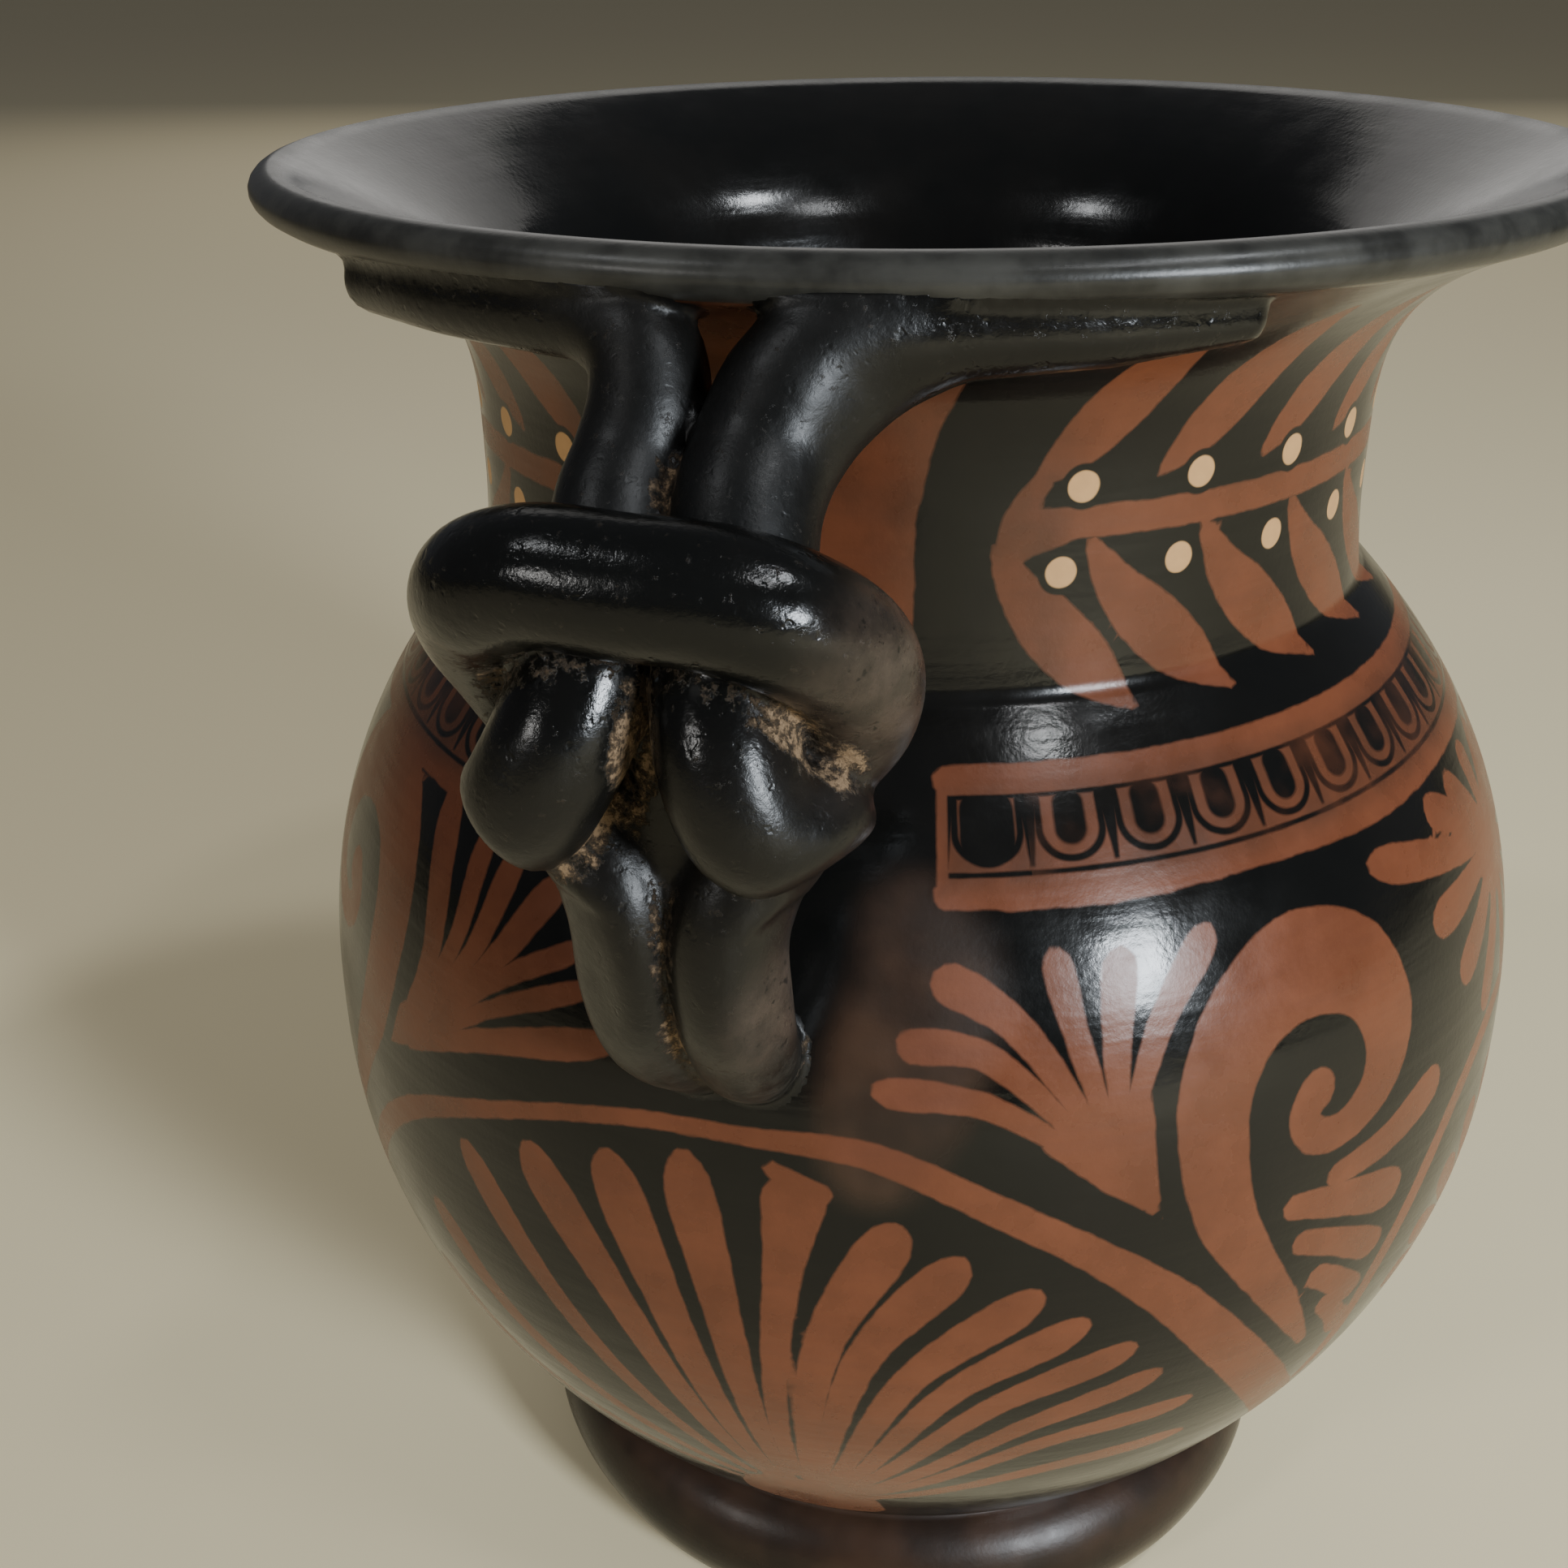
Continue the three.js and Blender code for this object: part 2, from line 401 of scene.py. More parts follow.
# The pattern: azimuths in degrees from the handle, all else in millimetres
STEM_ARC = 143.2
FIRST_LEAF = 25.0
LEAF_PITCH = 14.0
PANEL_EDGE = 15.2
UPPER_LINE = 119.0
FIRST_EGG = 19.9
EGG_PITCH = 7.6
EGG_LOW = 113.9
BAND_TOP = 117.3
BAND_FOOT = 110.1
BERRY_UP = 30.4
BERRY_DOWN = 28.5
BERRY_RISE = 3.4
BERRY_FALL = 4.6
LOWER_LINE = 108.3
ARCH_HEART = (4.0, -7.0)
ARCH_ARC = 31.0
EYE_AZIMUTH = 48.0
EYE_ARC = 85.0
LEAVES_UP = 11
LEAVES_DOWN = 10
LEAF_UP = (
    (0.2, 3.6, 0.5), (3.7, 6.8, 2.2), (7.6, 11.4, 3.1), (10.9, 16.8, 2.6), (13.4, 22.6, 0.3),
)
LEAF_DOWN = (
    (0.2, -2.6, 0.8), (3.0, -6.9, 2.1), (6.3, -10.4, 3.0), (10.4, -14.2, 2.8), (16.4, -19.2, 0.3),
)
LAUREL_RADIUS = 49.6
BAND_RADIUS = 58.0
# Where the handle's painted shadow lies on the neck: degrees either side of the handle, and the
# height along the wall where it starts
BEHIND_HANDLE = 29.0
BEHIND_FOOT = 123.0


def paint_neck(ground, flip, count):
    """A laurel branch away from the handle, its leaves in pairs until near the back."""
    reach = math.radians(LEAF_PITCH / 2) * LAUREL_RADIUS
    beak = (flip * (FIRST_LEAF - 3.6), STEM_ARC + 0.4)
    ground.blade("red_b", beak, flip, np.array(LEAF_DOWN) * (0.86, 1, 1))
    for k in range(count):
        layer = "red_a" if k % 2 else "red_b"
        at = FIRST_LEAF + LEAF_PITCH * k
        if k < LEAVES_UP:
            ground.blade(layer, (flip * at, STEM_ARC + 0.4), flip, LEAF_UP)
        if k < LEAVES_DOWN:
            ground.blade(layer, (flip * (at + 6.6), STEM_ARC + 0.4), flip, LEAF_DOWN)
        for step in (0, LEAF_PITCH / 2):
            stem = (flip * (at + step), STEM_ARC)
            ground.blade("red_a", stem, flip, [(0, 0, 1.5), (reach, 0, 1.5)], smooth=False)
    first = (flip * FIRST_LEAF, STEM_ARC)
    ground.blade("red_a", first, flip, [(0.9, 4.2, 1.0), (-1.3, 0.8, 1.3), (-2.2, -4.0, 1.3)])
    ground.patch("red_a", first, flip, [(0, 1.6), (4, 1.4), (4, -1.6), (-1.5, -3.5)])


def paint_shoulder(ground):
    """Two reserved lines with the egg band's washed ground between them."""
    step = 5.0
    for start in np.arange(PANEL_EDGE, 360 - PANEL_EDGE, step):
        width = min(step, 360 - PANEL_EDGE - start)
        reach = math.radians(width) * BAND_RADIUS + 1.0
        wobble = 0.25 * math.sin(start * 0.19)
        for arc, half in ((UPPER_LINE, 1.45), (LOWER_LINE + wobble, 1.4)):
            spine = [(1.2, 0, half), (reach, 0, half)]
            ground.blade("red_a", (start, arc), 1, spine, smooth=False)
        low, high = LOWER_LINE - UPPER_LINE, 0.0
        box = [(0.2, low), (reach + 1, low), (reach + 1, high), (0.2, high)]
        ground.patch("red_b", (start, UPPER_LINE), 1, box)
        ground.patch("wash_and_shade", (start, UPPER_LINE), 1, box)


def paint_arch(ground, azimuth, flip):
    """The great palmette that rises from the foot under a reserved arch."""
    centre = (azimuth, ARCH_ARC)
    arch = [
        (-66, 0, 1.6), (-59, 22, 1.6), (-46.8, 37.3, 1.5), (-26, 48, 0.95), (-9.7, 52.7, 0.9),
        (0.5, 53.3, 0.95), (13, 52.7, 1.4), (25, 47.2, 1.6), (36, 40.2, 1.9), (45, 32, 2.6),
        (54.5, 18, 3.2), (60, 4, 3.4), (63, -13, 3.4),
    ]
    ground.blade("red_a", centre, flip, arch)
    left = (
        ((-33, 6), (-45, 16), 1.9), ((-29, 17), (-41, 29), 1.9), ((-21, 26), (-33.4, 41.2), 1.95),
        ((-12.6, 29.5), (-23.6, 45.4), 2.6), ((-6.8, 30), (-13.6, 48.2), 2.7),
        ((-1.2, 32), (-5.2, 50.6), 2.5),
    )
    right = (
        ((9.2, 31), (16.2, 45.6), 2.5), ((13.2, 29.5), (22.4, 41.8), 2.3),
        ((17.8, 26.5), (30.0, 37.4), 2.15), ((21.6, 24.2), (34.9, 33.1), 1.95),
        ((25.2, 21.2), (40.2, 28.6), 1.75), ((28.2, 17.0), (43.4, 23.6), 1.55),
        ((30.5, 13.4), (47.4, 16.6), 1.45), ((31, 6.5), (47, 8.5), 1.4),
    )
    x, y = ARCH_HEART
    petals = []
    for middle, tip, wide in left + right:
        root = (x + (middle[0] - x) * 0.22, y + (middle[1] - y) * 0.22)
        petals.append((root, middle, tip, wide))
    ground.fan(centre, flip, petals, 0.8)
    crown = [(3.9, 3, 0.9), (3.6, 18, 1.2), (4.3, 31, 1.6), (5.3, 41, 2.2), (6.1, 47, 3.2)]
    ground.blade("red_b", centre, flip, crown)
    ground.blade("red_b", centre, flip, [(3.9, 50.4, 0.9), (8.9, 48.4, 0.9)], smooth=False)
    ground.blade("red_a", centre, flip, [(x, y, 8.0), (x, y - 3, 8.0)], smooth=False)


def paint_volute(ground, azimuth, arc, flip, size=1.0):
    """The large scroll, rolling in to a closed eye."""
    spine = [
        (2.6, -35.5, 0.7), (-2.3, -27.5, 1.8), (-8.4, -18.2, 2.6), (-12.0, -11.5, 3.3),
        (-13.5, -2.8, 3.85), (-12.6, 3.0, 4.1), (-8.8, 8.6, 4.5), (-2.1, 11.9, 5.3),
        (4.9, 10.1, 4.9), (8.3, 6.2, 4.3), (9.4, 1.8, 3.9), (8.3, -2.2, 3.1), (5.0, -5.3, 2.4),
        (1.2, -6.5, 2.05), (-1.9, -5.7, 1.95), (-3.0, -3.0, 1.9), (-1.2, -0.9, 2.3),
    ]
    ground.blade("red_a", (azimuth, arc), flip, np.array(spine) * size)


def paint_side(ground, azimuth, flip):
    """The side of an arch: small palmette, volute and the fan from its stem."""
    heart = (azimuth + flip * 28.0, 86.0)
    petals = [
        ((-2.8, -2.0), (-11.4, 3.0), (-21.4, 4.3), 1.45),
        ((-2.0, -0.8), (-11.2, 7.8), (-18.8, 8.7), 1.6),
        ((-1.0, 0.0), (-8.2, 10.8), (-14.6, 15.2), 1.9),
        ((0.2, 0.5), (-2.5, 10.4), (-3.7, 17.3), 1.4),
        ((1.6, 0.6), (1.7, 8.6), (2.7, 16.6), 1.65),
        ((2.9, 0.8), (6.4, 9.6), (12.0, 17.2), 1.6),
    ]
    ground.fan(heart, flip, petals, 0.95)
    outline = [(-6.0, -1.6), (-0.6, 1.9), (4.9, 2.4), (5.5, -5.7), (6.2, -11.0), (0.4, -7.0)]
    ground.patch("red_a", heart, flip, outline)
    eye = (azimuth + flip * EYE_AZIMUTH, EYE_ARC)
    paint_volute(ground, *eye, flip)
    petals = [
        ((2.0, -11.8), (9.5, -10.8), (19.0, -7.5), 2.2),
        ((-3.6, -13.4), (3.5, -15.4), (12.8, -18.4), 2.4),
        ((-1.8, -18.6), (4.0, -21.2), (11.2, -25.4), 1.9),
        ((1.4, -24.6), (4.6, -27.0), (9.2, -31.4), 1.8),
        ((4.2, -30.2), (6.6, -33.2), (9.4, -38.0), 1.5),
    ]
    ground.fan(eye, flip, petals, 1.5)


def paint_flank(ground, azimuth, flip):
    """The middle of a flank: a hanging palmette above a standing one under its own arch."""
    half = (azimuth + flip * 82.0, 95.0)
    tips = [
        ((-13.0, 3.6), (-28.5, 8.2), 2.0), ((-11.5, -0.8), (-21.5, -1.6), 2.0),
        ((-8.0, 5.4), (-15.4, 9.6), 2.0), ((-4.6, 5.6), (-8.6, 9.8), 1.9),
        ((-9.0, -5.2), (-17.5, -9.5), 2.0), ((-5.4, -8.4), (-11.0, -16.5), 2.0),
        ((0.0, 6.0), (0.0, 10.4), 1.9), ((0.0, -9.5), (0.0, -19.0), 2.0),
    ]
    mirrored = [((-m[0], m[1]), (-t[0], t[1]), w) for m, t, w in tips if m[0]]
    petals = [((m[0] * 0.35, m[1] * 0.35), m, t, w) for m, t, w in tips + mirrored]
    ground.fan(half, flip, petals, 1.0)
    ground.blade("red_a", half, flip, [(-2, -1, 5.2), (2, -1, 5.2)], smooth=False)
    foot = (azimuth + flip * 80.0, 44.0)
    petals = []
    for turn in range(-78, 79, 19):
        a = math.radians(turn)
        out = np.array((math.sin(a), math.cos(a)))
        petals.append((out * 4.5, out * 12, out * (25 - abs(turn) * 0.06), 2.3))
    ground.fan(foot, flip, petals, 0.9)
    arch = [(-29, -6, 1.4), (-27, 12, 1.4), (-15, 28, 1.4), (0, 33, 1.4), (15, 28, 1.4)]
    ground.blade("red_b", foot, flip, arch + [(27, 12, 1.4), (29, -6, 1.4)])
    ground.blade("red_b", foot, flip, [(0, -2, 5.0), (0, 1, 5.0)], smooth=False)


def paint_left(ground):
    """The flank left of the handle: a taller palmette that leans to it, and its scroll."""
    heart = (-35.0, 78.0)
    petals = [
        ((0.3, 3.6), (3.6, 13.0), (-0.8, 30.4), 1.95),
        ((1.6, 5.0), (7.2, 15.4), (7.2, 29.0), 1.35),
        ((2.8, 5.6), (10.2, 15.6), (12.4, 28.4), 1.5),
        ((4.0, 5.4), (13.2, 15.6), (18.9, 26.8), 1.7),
        ((4.8, 4.4), (14.2, 13.9), (24.4, 21.2), 1.2),
        ((4.2, 3.2), (14.4, 11.0), (26.4, 17.4), 1.15),
        ((1.0, 1.0), (14.0, 7.3), (30.2, 12.6), 1.6),
    ]
    ground.fan(heart, 1, petals, 0.7)
    ground.patch("red_a", heart, 1, [(-3.4, -1.0), (-1.2, 5.0), (2.6, 7.0), (6.0, 4.4), (1.0, 0.6)])
    paint_volute(ground, -51.6, 91.5, -1, 1.06)


def paint(ground):
    """The whole scheme: laurel on the neck, egg band, and a belly of palmettes and scrolls."""
    panel = [(0, -5.5, 11.6), (0, 1.5, 12.1), (0, 7, 13.3), (0, 13, 14.8), (0, 24, 19.5)]
    ground.blade("red_b", (-1.0, 143.8), 1, panel)
    ground.patch("red_b", (-1.0, 143.8), 1, [(-12, -14), (12, -14), (12, 0), (-12, 0)])
    paint_neck(ground, 1, 12)
    paint_neck(ground, -1, 11)
    paint_shoulder(ground)
    paint_arch(ground, 0.0, 1)
    paint_side(ground, 0.0, 1)
    paint_flank(ground, 0.0, 1)
    paint_left(ground)
    paint_arch(ground, 180.0, 1)
    paint_side(ground, 180.0, -1)
    paint_side(ground, 180.0, 1)
    paint_flank(ground, 180.0, 1)
    mottle = [(2, -8, 4.5), (4, 0, 6.5), (6, 8, 6.0), (4, 14, 3.5)]
    ground.blade("thin", (9.5, 92.0), 1, mottle)


def throw_vessel(sizes):
    """The thrown vessel as a closed mesh: points in millimetres about its own axis, and faces."""
    rings, zones = section(sizes)
    azimuth = turns()
    count = len(azimuth)
    a = np.radians(azimuth)
    inner_rings, inner_zones = rings[1:-1], zones[1:-1]
    r, z = inner_rings[:, 0], inner_rings[:, 1]
    x = r[:, None] * np.sin(a)[None]
    y = -r[:, None] * np.cos(a)[None]
    points = np.stack([x, y, np.repeat(z[:, None], count, 1)], -1).reshape(-1, 3)
    bottom = len(points)
    points = np.vstack([points, [[0, 0, rings[0, 1]], [0, 0, rings[-1, 1]]]])
    here = np.arange(count)
    after = np.roll(here, -1)
    faces = []
    for row in range(len(r) - 1):
        low, high = row * count, (row + 1) * count
        faces.append(np.stack([low + here, low + after, high + after, high + here], -1))
    quads = np.concatenate(faces)
    last = (len(r) - 1) * count
    fan_low = np.stack([np.full(count, bottom), after, here], -1)
    fan_high = np.stack([np.full(count, bottom + 1), last + here, last + after], -1)
    triangles = np.concatenate([fan_low, fan_high])

    walls = np.flatnonzero(inner_zones == "wall")
    first, end = walls[0], walls[-1] + 1
    wall = inner_rings[first:end]
    arc = travel(wall)
    ground = Ground(
        np.tile(azimuth, len(arc)), np.repeat(arc, count), np.repeat(wall[:, 0], count)
    )
    paint(ground)
    painted = slice(first * count, end * count)
    layers = {name: np.full(len(points), -FAR) for name in ground.layers}
    for name, values in ground.layers.items():
        layers[name][painted] = values
    under = np.repeat(inner_zones == "under", count)
    layers["red_a"][: len(under)][under] = FAR
    layers["red_a"][bottom] = FAR
    for name, low in (("wash_and_shade", -1.0), ("thin", -FAR)):
        layers[name] = smooth_step(low, 2.0, layers[name])
    # The panel behind the handle is left browner: painted shade of the handle's shadow on the neck,
    # put in the wash layer
    panel = 1 - smooth_step(BEHIND_HANDLE - 3, BEHIND_HANDLE + 3, np.abs(ground.azimuth))
    panel = 0.9 * panel * smooth_step(BEHIND_FOOT - 2, BEHIND_FOOT + 2, ground.arc)
    layers["wash_and_shade"][painted] = np.maximum(layers["wash_and_shade"][painted], panel)
    foot = np.flatnonzero(np.repeat(inner_zones == "foot", count))
    layers["thin"][foot] = 0.35 + 0.6 * smooth_step(8.0, 16.0, points[foot, 2])
    layers["rim"] = np.append(np.repeat(inner_zones == "lip", count), [False, False]).astype(float)
    layers["arc"] = np.zeros(len(points))
    layers["arc"][painted] = ground.arc
    return points, quads, triangles, layers


# The knot, as in the solid: gaps and half widths in millimetres
BRANCH_RADIUS = 4.3
STEM_RADIUS = 4.5
BRANCH_ANGLE = 35.0
BRANCH_INSET = 4.4
STRAND_GAP = 5.3
SWELLS_AT = 5.3
STEM_GAP = 4.7
ROOT_GAP = 3.1
LOOP_WIDTH = 14.5
LOBE_WIDTH = 11.2
KNOT_DROP = 26.8
ROOT_HEIGHT = 102.0
KNOT_SHIFT = -0.6
LOOP_TILT = 0.05
REAR_TILT = 0.08

# The space that the handle is modelled in, and the flat one (r, z) that holds the wall there
KNOT_SPACE = ((-47.0, 46.0, 92.0), (47.0, 96.5, 176.0))
WALL_SPACE = ((40.0, 88.0), (112.0, 180.0))

# How softly the handle's clay is joined, and how deep it runs into the vessel's wall
WEB_FILLET = 2.5
COIL_FILLET = 0.9
CORE_FILLET = 1.2
WALL_FILLETS = (0.9, 1.5)
FILLET_HEIGHTS = (110.0, 150.0)
FILLET_REACH = 6.0
SUNK = 1.6
SKIN_INSET = 0.05
FLAT_EDGE = 1.7

# Flats pressed on the coils: coil, place (right, out, up), facing, and how far each reaches
UPPER, LOWER = 0, 1
FLATS = (
    (UPPER, (-14.5, 80.8, 131.3), (-0.76, 0.24, -0.60), 14.0),
    (UPPER, (13.6, 80.5, 131.2), (0.62, 0.20, -0.75), 14.0),
    (LOWER, (-16.8, 86.6, 144.6), (-0.20, 0.76, -0.62), 6.0),
    (LOWER, (8.2, 80.6, 116.0), (0.92, 0.38, -0.10), 10.0),
    (LOWER, (-7.6, 82.8, 116.0), (-0.50, 0.84, -0.16), 10.0),
)

# Where the handle's gloss is rubbed: place, full within and gone beyond
RUBBED = (((19.5, 84.0, 147.0), 4.0, 13.0), ((9.0, 80.5, 115.5), 3.0, 9.0))

# Where it is dull or greyed, each as from and to: the strands, below the knot, and the stems
STRANDS_UP = (149.0, 154.0)
STRANDS_SIDE = (12.0, 18.0)
STRANDS_OUT = (80.0, 83.0)
BELOW_KNOT = (139.0, 146.0)
STEMS_UP = (103.0, 115.0)
STEMS_SIDE = (-8.0, 2.0)

# Soil left in the creases, none above SOIL_TOP: place, reach and strength
SOIL_TOP = 160.0
SOIL = (
    ((-1.6, 73.0, 154.6), 6.0, 1.0), ((-1.4, 70.0, 159.0), 6.0, 0.6),
    ((0.2, 87.0, 141.5), 7.0, 0.5), ((-0.6, 85.0, 136.0), 6.5, 0.55),
    ((-4.4, 84.0, 131.5), 5.0, 0.5), ((-8.0, 81.0, 127.0), 4.5, 0.6),
    ((-0.6, 79.0, 121.0), 8.0, 0.5), ((-0.8, 78.0, 113.0), 8.0, 0.55),
    ((-0.8, 74.5, 105.0), 7.0, 0.4), ((11.0, 87.0, 143.0), 5.0, 0.6),
    ((15.6, 84.0, 140.2), 4.2, 0.9), ((-13.0, 86.0, 144.0), 5.0, 0.3),
    ((-3.0, 87.0, 140.2), 5.0, 0.6), ((-5.5, 85.0, 134.7), 5.0, 0.7),
    ((-9.6, 82.5, 128.8), 5.0, 0.7),
)


class Knot:
    """Centre lines of the handle's coils, as (right, out, up) in millimetres."""

    def __init__(self, sizes):
        self.sizes = sizes
        self.lip_line = sizes.lip_radius - BRANCH_INSET
        self.branch_z = LIP_UNDER - BRANCH_RADIUS * 0.6
        self.front = sizes.front - 0.35

    def behind(self, coils):
        """How far out a line lies that is so many coil radii behind the front loop."""
        return self.front - coils * self.sizes.coil_radius

    def below(self, drops):
        """The height so many knot drops below the front loop."""
        return self.sizes.knot_height - drops * KNOT_DROP

    def knot(self, side, coils, drops, tilt=0.0):
        return (side + KNOT_SHIFT, self.behind(coils), self.below(drops) + tilt * side)

    def upper_half(self, hand):
        """From the end of a branch along the lip, down its strand and round the lobe."""

        def on_lip(share, drop=0.0):
            a = math.radians((BRANCH_ANGLE if hand > 0 else BRANCH_ANGLE - 2) * share)
            up = self.branch_z + 0.7 - drop
            return (hand * self.lip_line * math.sin(a), self.lip_line * math.cos(a), up)

        lobe = LOBE_WIDTH + (0.0 if hand > 0 else 0.9)
        out = self.lip_line
        top = self.branch_z
        if hand > 0:
            bend = [
                on_lip(0.42), (12.0, out - 0.2, top + 0.6), (8.2, out + 1.2, top - 1.0),
                (5.8, out + 2.8, top - 4.4), (4.5, out + 4.9, top - 8.2),
                (4.0, out + 8.2, top - 11.6),
            ]
        else:
            bend = [
                on_lip(0.45), (-11.0, out - 0.8, top + 0.6), (-6.7, out + 1.0, top - 1.6),
                (-5.6, out + 2.8, top - 5.4), (-6.2, out + 5.0, top - 9.2),
                (-6.6, out + 8.0, top - 12.2),
            ]
        return [
            on_lip(1.0, 0.3),
            on_lip(0.72),
            *bend,
            self.knot(hand * STRAND_GAP, 2.0, 0.11),
            self.knot(hand * STRAND_GAP * 1.04, 1.02, 0.34),
            self.knot(hand * mix(STRAND_GAP, lobe, 0.25), 0.5, 0.52),
            self.knot(hand * lobe * 0.79, 0.5, 0.69),
            self.knot(hand * lobe, 1.13, 0.78, REAR_TILT),
            self.knot(hand * lobe * 0.87, 2.17, 0.93, REAR_TILT),
            self.knot(hand * lobe * 0.5, 2.92, 1.0, REAR_TILT),
        ]

    def lower_half(self, hand):
        """From a root on the shoulder, up its stem and round to the front loop."""
        root = float(self.sizes.outer(ROOT_HEIGHT))
        loop = LOOP_WIDTH
        sag = 0.03 if hand < 0 else 0.0
        lean = 0.9 if hand > 0 else 0.2
        return [
            (hand * ROOT_GAP + KNOT_SHIFT - lean, root, ROOT_HEIGHT),
            (
                hand * STEM_GAP * 0.87 + KNOT_SHIFT - lean * 0.8,
                mix(root, self.behind(1.62), 0.54),
                self.below(1.74),
            ),
            self.knot(hand * STEM_GAP - lean * 0.4, 1.62, 1.455),
            self.knot(hand * STEM_GAP, 1.4, 1.16),
            self.knot(hand * mix(STEM_GAP, loop, 0.25), 1.81, 0.88),
            self.knot(hand * loop * 0.72, 2.19, 0.63),
            self.knot(hand * loop * 0.94, 2.08, 0.43 + sag, -LOOP_TILT),
            self.knot(hand * loop, 1.32, 0.21 + sag, -LOOP_TILT),
            self.knot(hand * loop * 0.78, 0.34, 0.04 + sag, -LOOP_TILT),
            self.knot(hand * loop * 0.45, 0.0, -0.02 + sag * 0.4, -LOOP_TILT),
        ]

    def coils(self):
        """The two coils, the clay between them and the web in the right branch's fork."""
        thick = self.sizes.coil_radius
        upper = self.upper_half(-1) + [self.knot(0, 3.13, 1.015)] + self.upper_half(1)[::-1]
        lower = self.lower_half(-1) + [self.knot(0, -0.09, -0.02)] + self.lower_half(1)[::-1]
        # Half widths at the line's points, for coils of SWELLS_AT
        left = [3.0, 3.6, 3.8, 4.2, 4.7, 5.0, 5.0, 5.1, 5.3, 5.6, 5.6, 5.6, 5.6, 5.4, 5.3]
        right = [2.0, 3.4, 4.3, 4.6, 5.1, 5.8, 5.9, 5.9, 5.7, 5.6, 5.6, 5.6, 5.6, 5.4, 5.3]
        below = [STEM_RADIUS, 4.9, 5.2, 5.2, 5.2, 5.3, 5.3, 5.4, 5.4, 5.3]
        swells = (left + [5.3] + right[::-1], below + [5.3] + below[::-1])
        for line, radii in zip((upper, lower), swells):
            path = route(line)
            spots = [np.argmin(np.linalg.norm(path - point, axis=1)) for point in line]
            radii = np.array(radii) * (thick / SWELLS_AT)
            yield path, np.interp(np.arange(len(path)), spots, radii)
        core = route([(KNOT_SHIFT, self.behind(2.2), self.below(d)) for d in (0.45, 0.75, 1.1)])
        yield core, np.full(len(core), 5.6)
        out, top = self.lip_line, self.branch_z
        web = route([(13.6, out - 1.6, top - 1.6), (7.4, out + 2.2, top - 6.2)])
        yield web, np.linspace(3.5, 3.7, len(web))


class Block:
    """A box of space on an even grid, holding distances to what is modelled in it."""

    def __init__(self, low, high, step):
        self.low = np.array(low, float)
        self.step = step
        self.shape = tuple(np.ceil((np.array(high) - low) / step).astype(int) + 1)

    def axes(self):
        return [self.low[i] + self.step * np.arange(self.shape[i]) for i in range(3)]

    def coil(self, path, radii, reach=9.0):
        field = np.full(self.shape, reach)
        axes = self.axes()
        for a, b, ra, rb in zip(path[:-1], path[1:], radii[:-1], radii[1:]):
            spot = []
            for i in range(3):
                low = min(a[i], b[i]) - ra - reach
                high = max(a[i], b[i]) + ra + reach
                spot.append(slice(*np.searchsorted(axes[i], (low, high))))
            x, y, z = np.meshgrid(*(axes[i][spot[i]] for i in range(3)), indexing="ij", sparse=True)
            way = b - a
            t = (x - a[0]) * way[0] + (y - a[1]) * way[1] + (z - a[2]) * way[2]
            t = np.clip(t / (way @ way), 0, 1)
            gap = np.sqrt(
                (x - a[0] - t * way[0]) ** 2
                + (y - a[1] - t * way[1]) ** 2
                + (z - a[2] - t * way[2]) ** 2
            )
            view = field[tuple(spot)]
            np.minimum(view, gap - mix(ra, rb, t), out=view)
        return field

    def sample(self, field, points):
        """Trilinear values of a field at points."""
        at = (points - self.low) / self.step
        at = np.clip(at, 0, np.array(self.shape) - 1.001)
        low = at.astype(int)
        t = at - low
        total = 0.0
        for corner in np.ndindex(2, 2, 2):
            weight = np.prod(np.where(corner, t, 1 - t), axis=1)
            i, j, k = (low + corner).T
            total = total + weight * field[i, j, k]
        return total

    def skin(self, field):
        """Surface nets: one point in each cell that the zero level crosses, and quads between."""
        inside = field < 0
        cells = tuple(n - 1 for n in self.shape)
        total = np.zeros(cells + (3,))
        hits = np.zeros(cells)
        corners = list(np.ndindex(2, 2, 2))
        for a in corners:
            for axis in range(3):
                if a[axis]:
                    continue
                b = tuple(1 if i == axis else a[i] for i in range(3))
                sa = tuple(slice(a[i], a[i] + cells[i]) for i in range(3))
                sb = tuple(slice(b[i], b[i] + cells[i]) for i in range(3))
                crossed = inside[sa] != inside[sb]
                fa, fb = field[sa][crossed], field[sb][crossed]
                point = np.tile(np.array(a, float), (len(fa), 1))
                point[:, axis] += fa / (fa - fb)
                total[crossed] += point
                hits[crossed] += 1
        live = hits > 0
        index = np.full(cells, -1)
        index[live] = np.arange(live.sum())
        base = np.stack(np.nonzero(live), -1)
        points = self.low + self.step * (base + total[live] / hits[live][:, None])
        quads = []
        for axis in range(3):
            u, v = [(1, 2), (2, 0), (0, 1)][axis]
            span = [slice(1, n - 1) for n in self.shape]
            span[axis] = slice(0, self.shape[axis] - 1)
            ahead = list(span)
            ahead[axis] = slice(1, self.shape[axis])
            first, second = inside[tuple(span)], inside[tuple(ahead)]
            where = np.stack(np.nonzero(first != second), -1)
            offset = np.array([s.start for s in span])
            cell = where + offset
            ring = []
            for du, dv in ((1, 1), (0, 1), (0, 0), (1, 0)):
                c = cell.copy()
                c[:, u] -= du
                c[:, v] -= dv
                ring.append(index[tuple(c.T)])
            ring = np.stack(ring, -1)
            flip = second[tuple(where.T)]
            ring[flip] = ring[flip][:, ::-1]
            quads.append(ring)
        return points, np.concatenate(quads)


def shave(field, block, place, facing, reach):
    """The field with a flat pressed on it, which dies away beyond its reach."""
    x, y, z = np.meshgrid(*block.axes(), indexing="ij", sparse=True)
    x, y, z = x - place[0], y - place[1], z - place[2]
    length = math.hypot(*facing)
    gap = (x * facing[0] + y * facing[1] + z * facing[2]) / length
    gap = gap - np.maximum(np.sqrt(x * x + y * y + z * z) - reach, 0)
    return -smooth_min(-field, -gap, FLAT_EDGE)


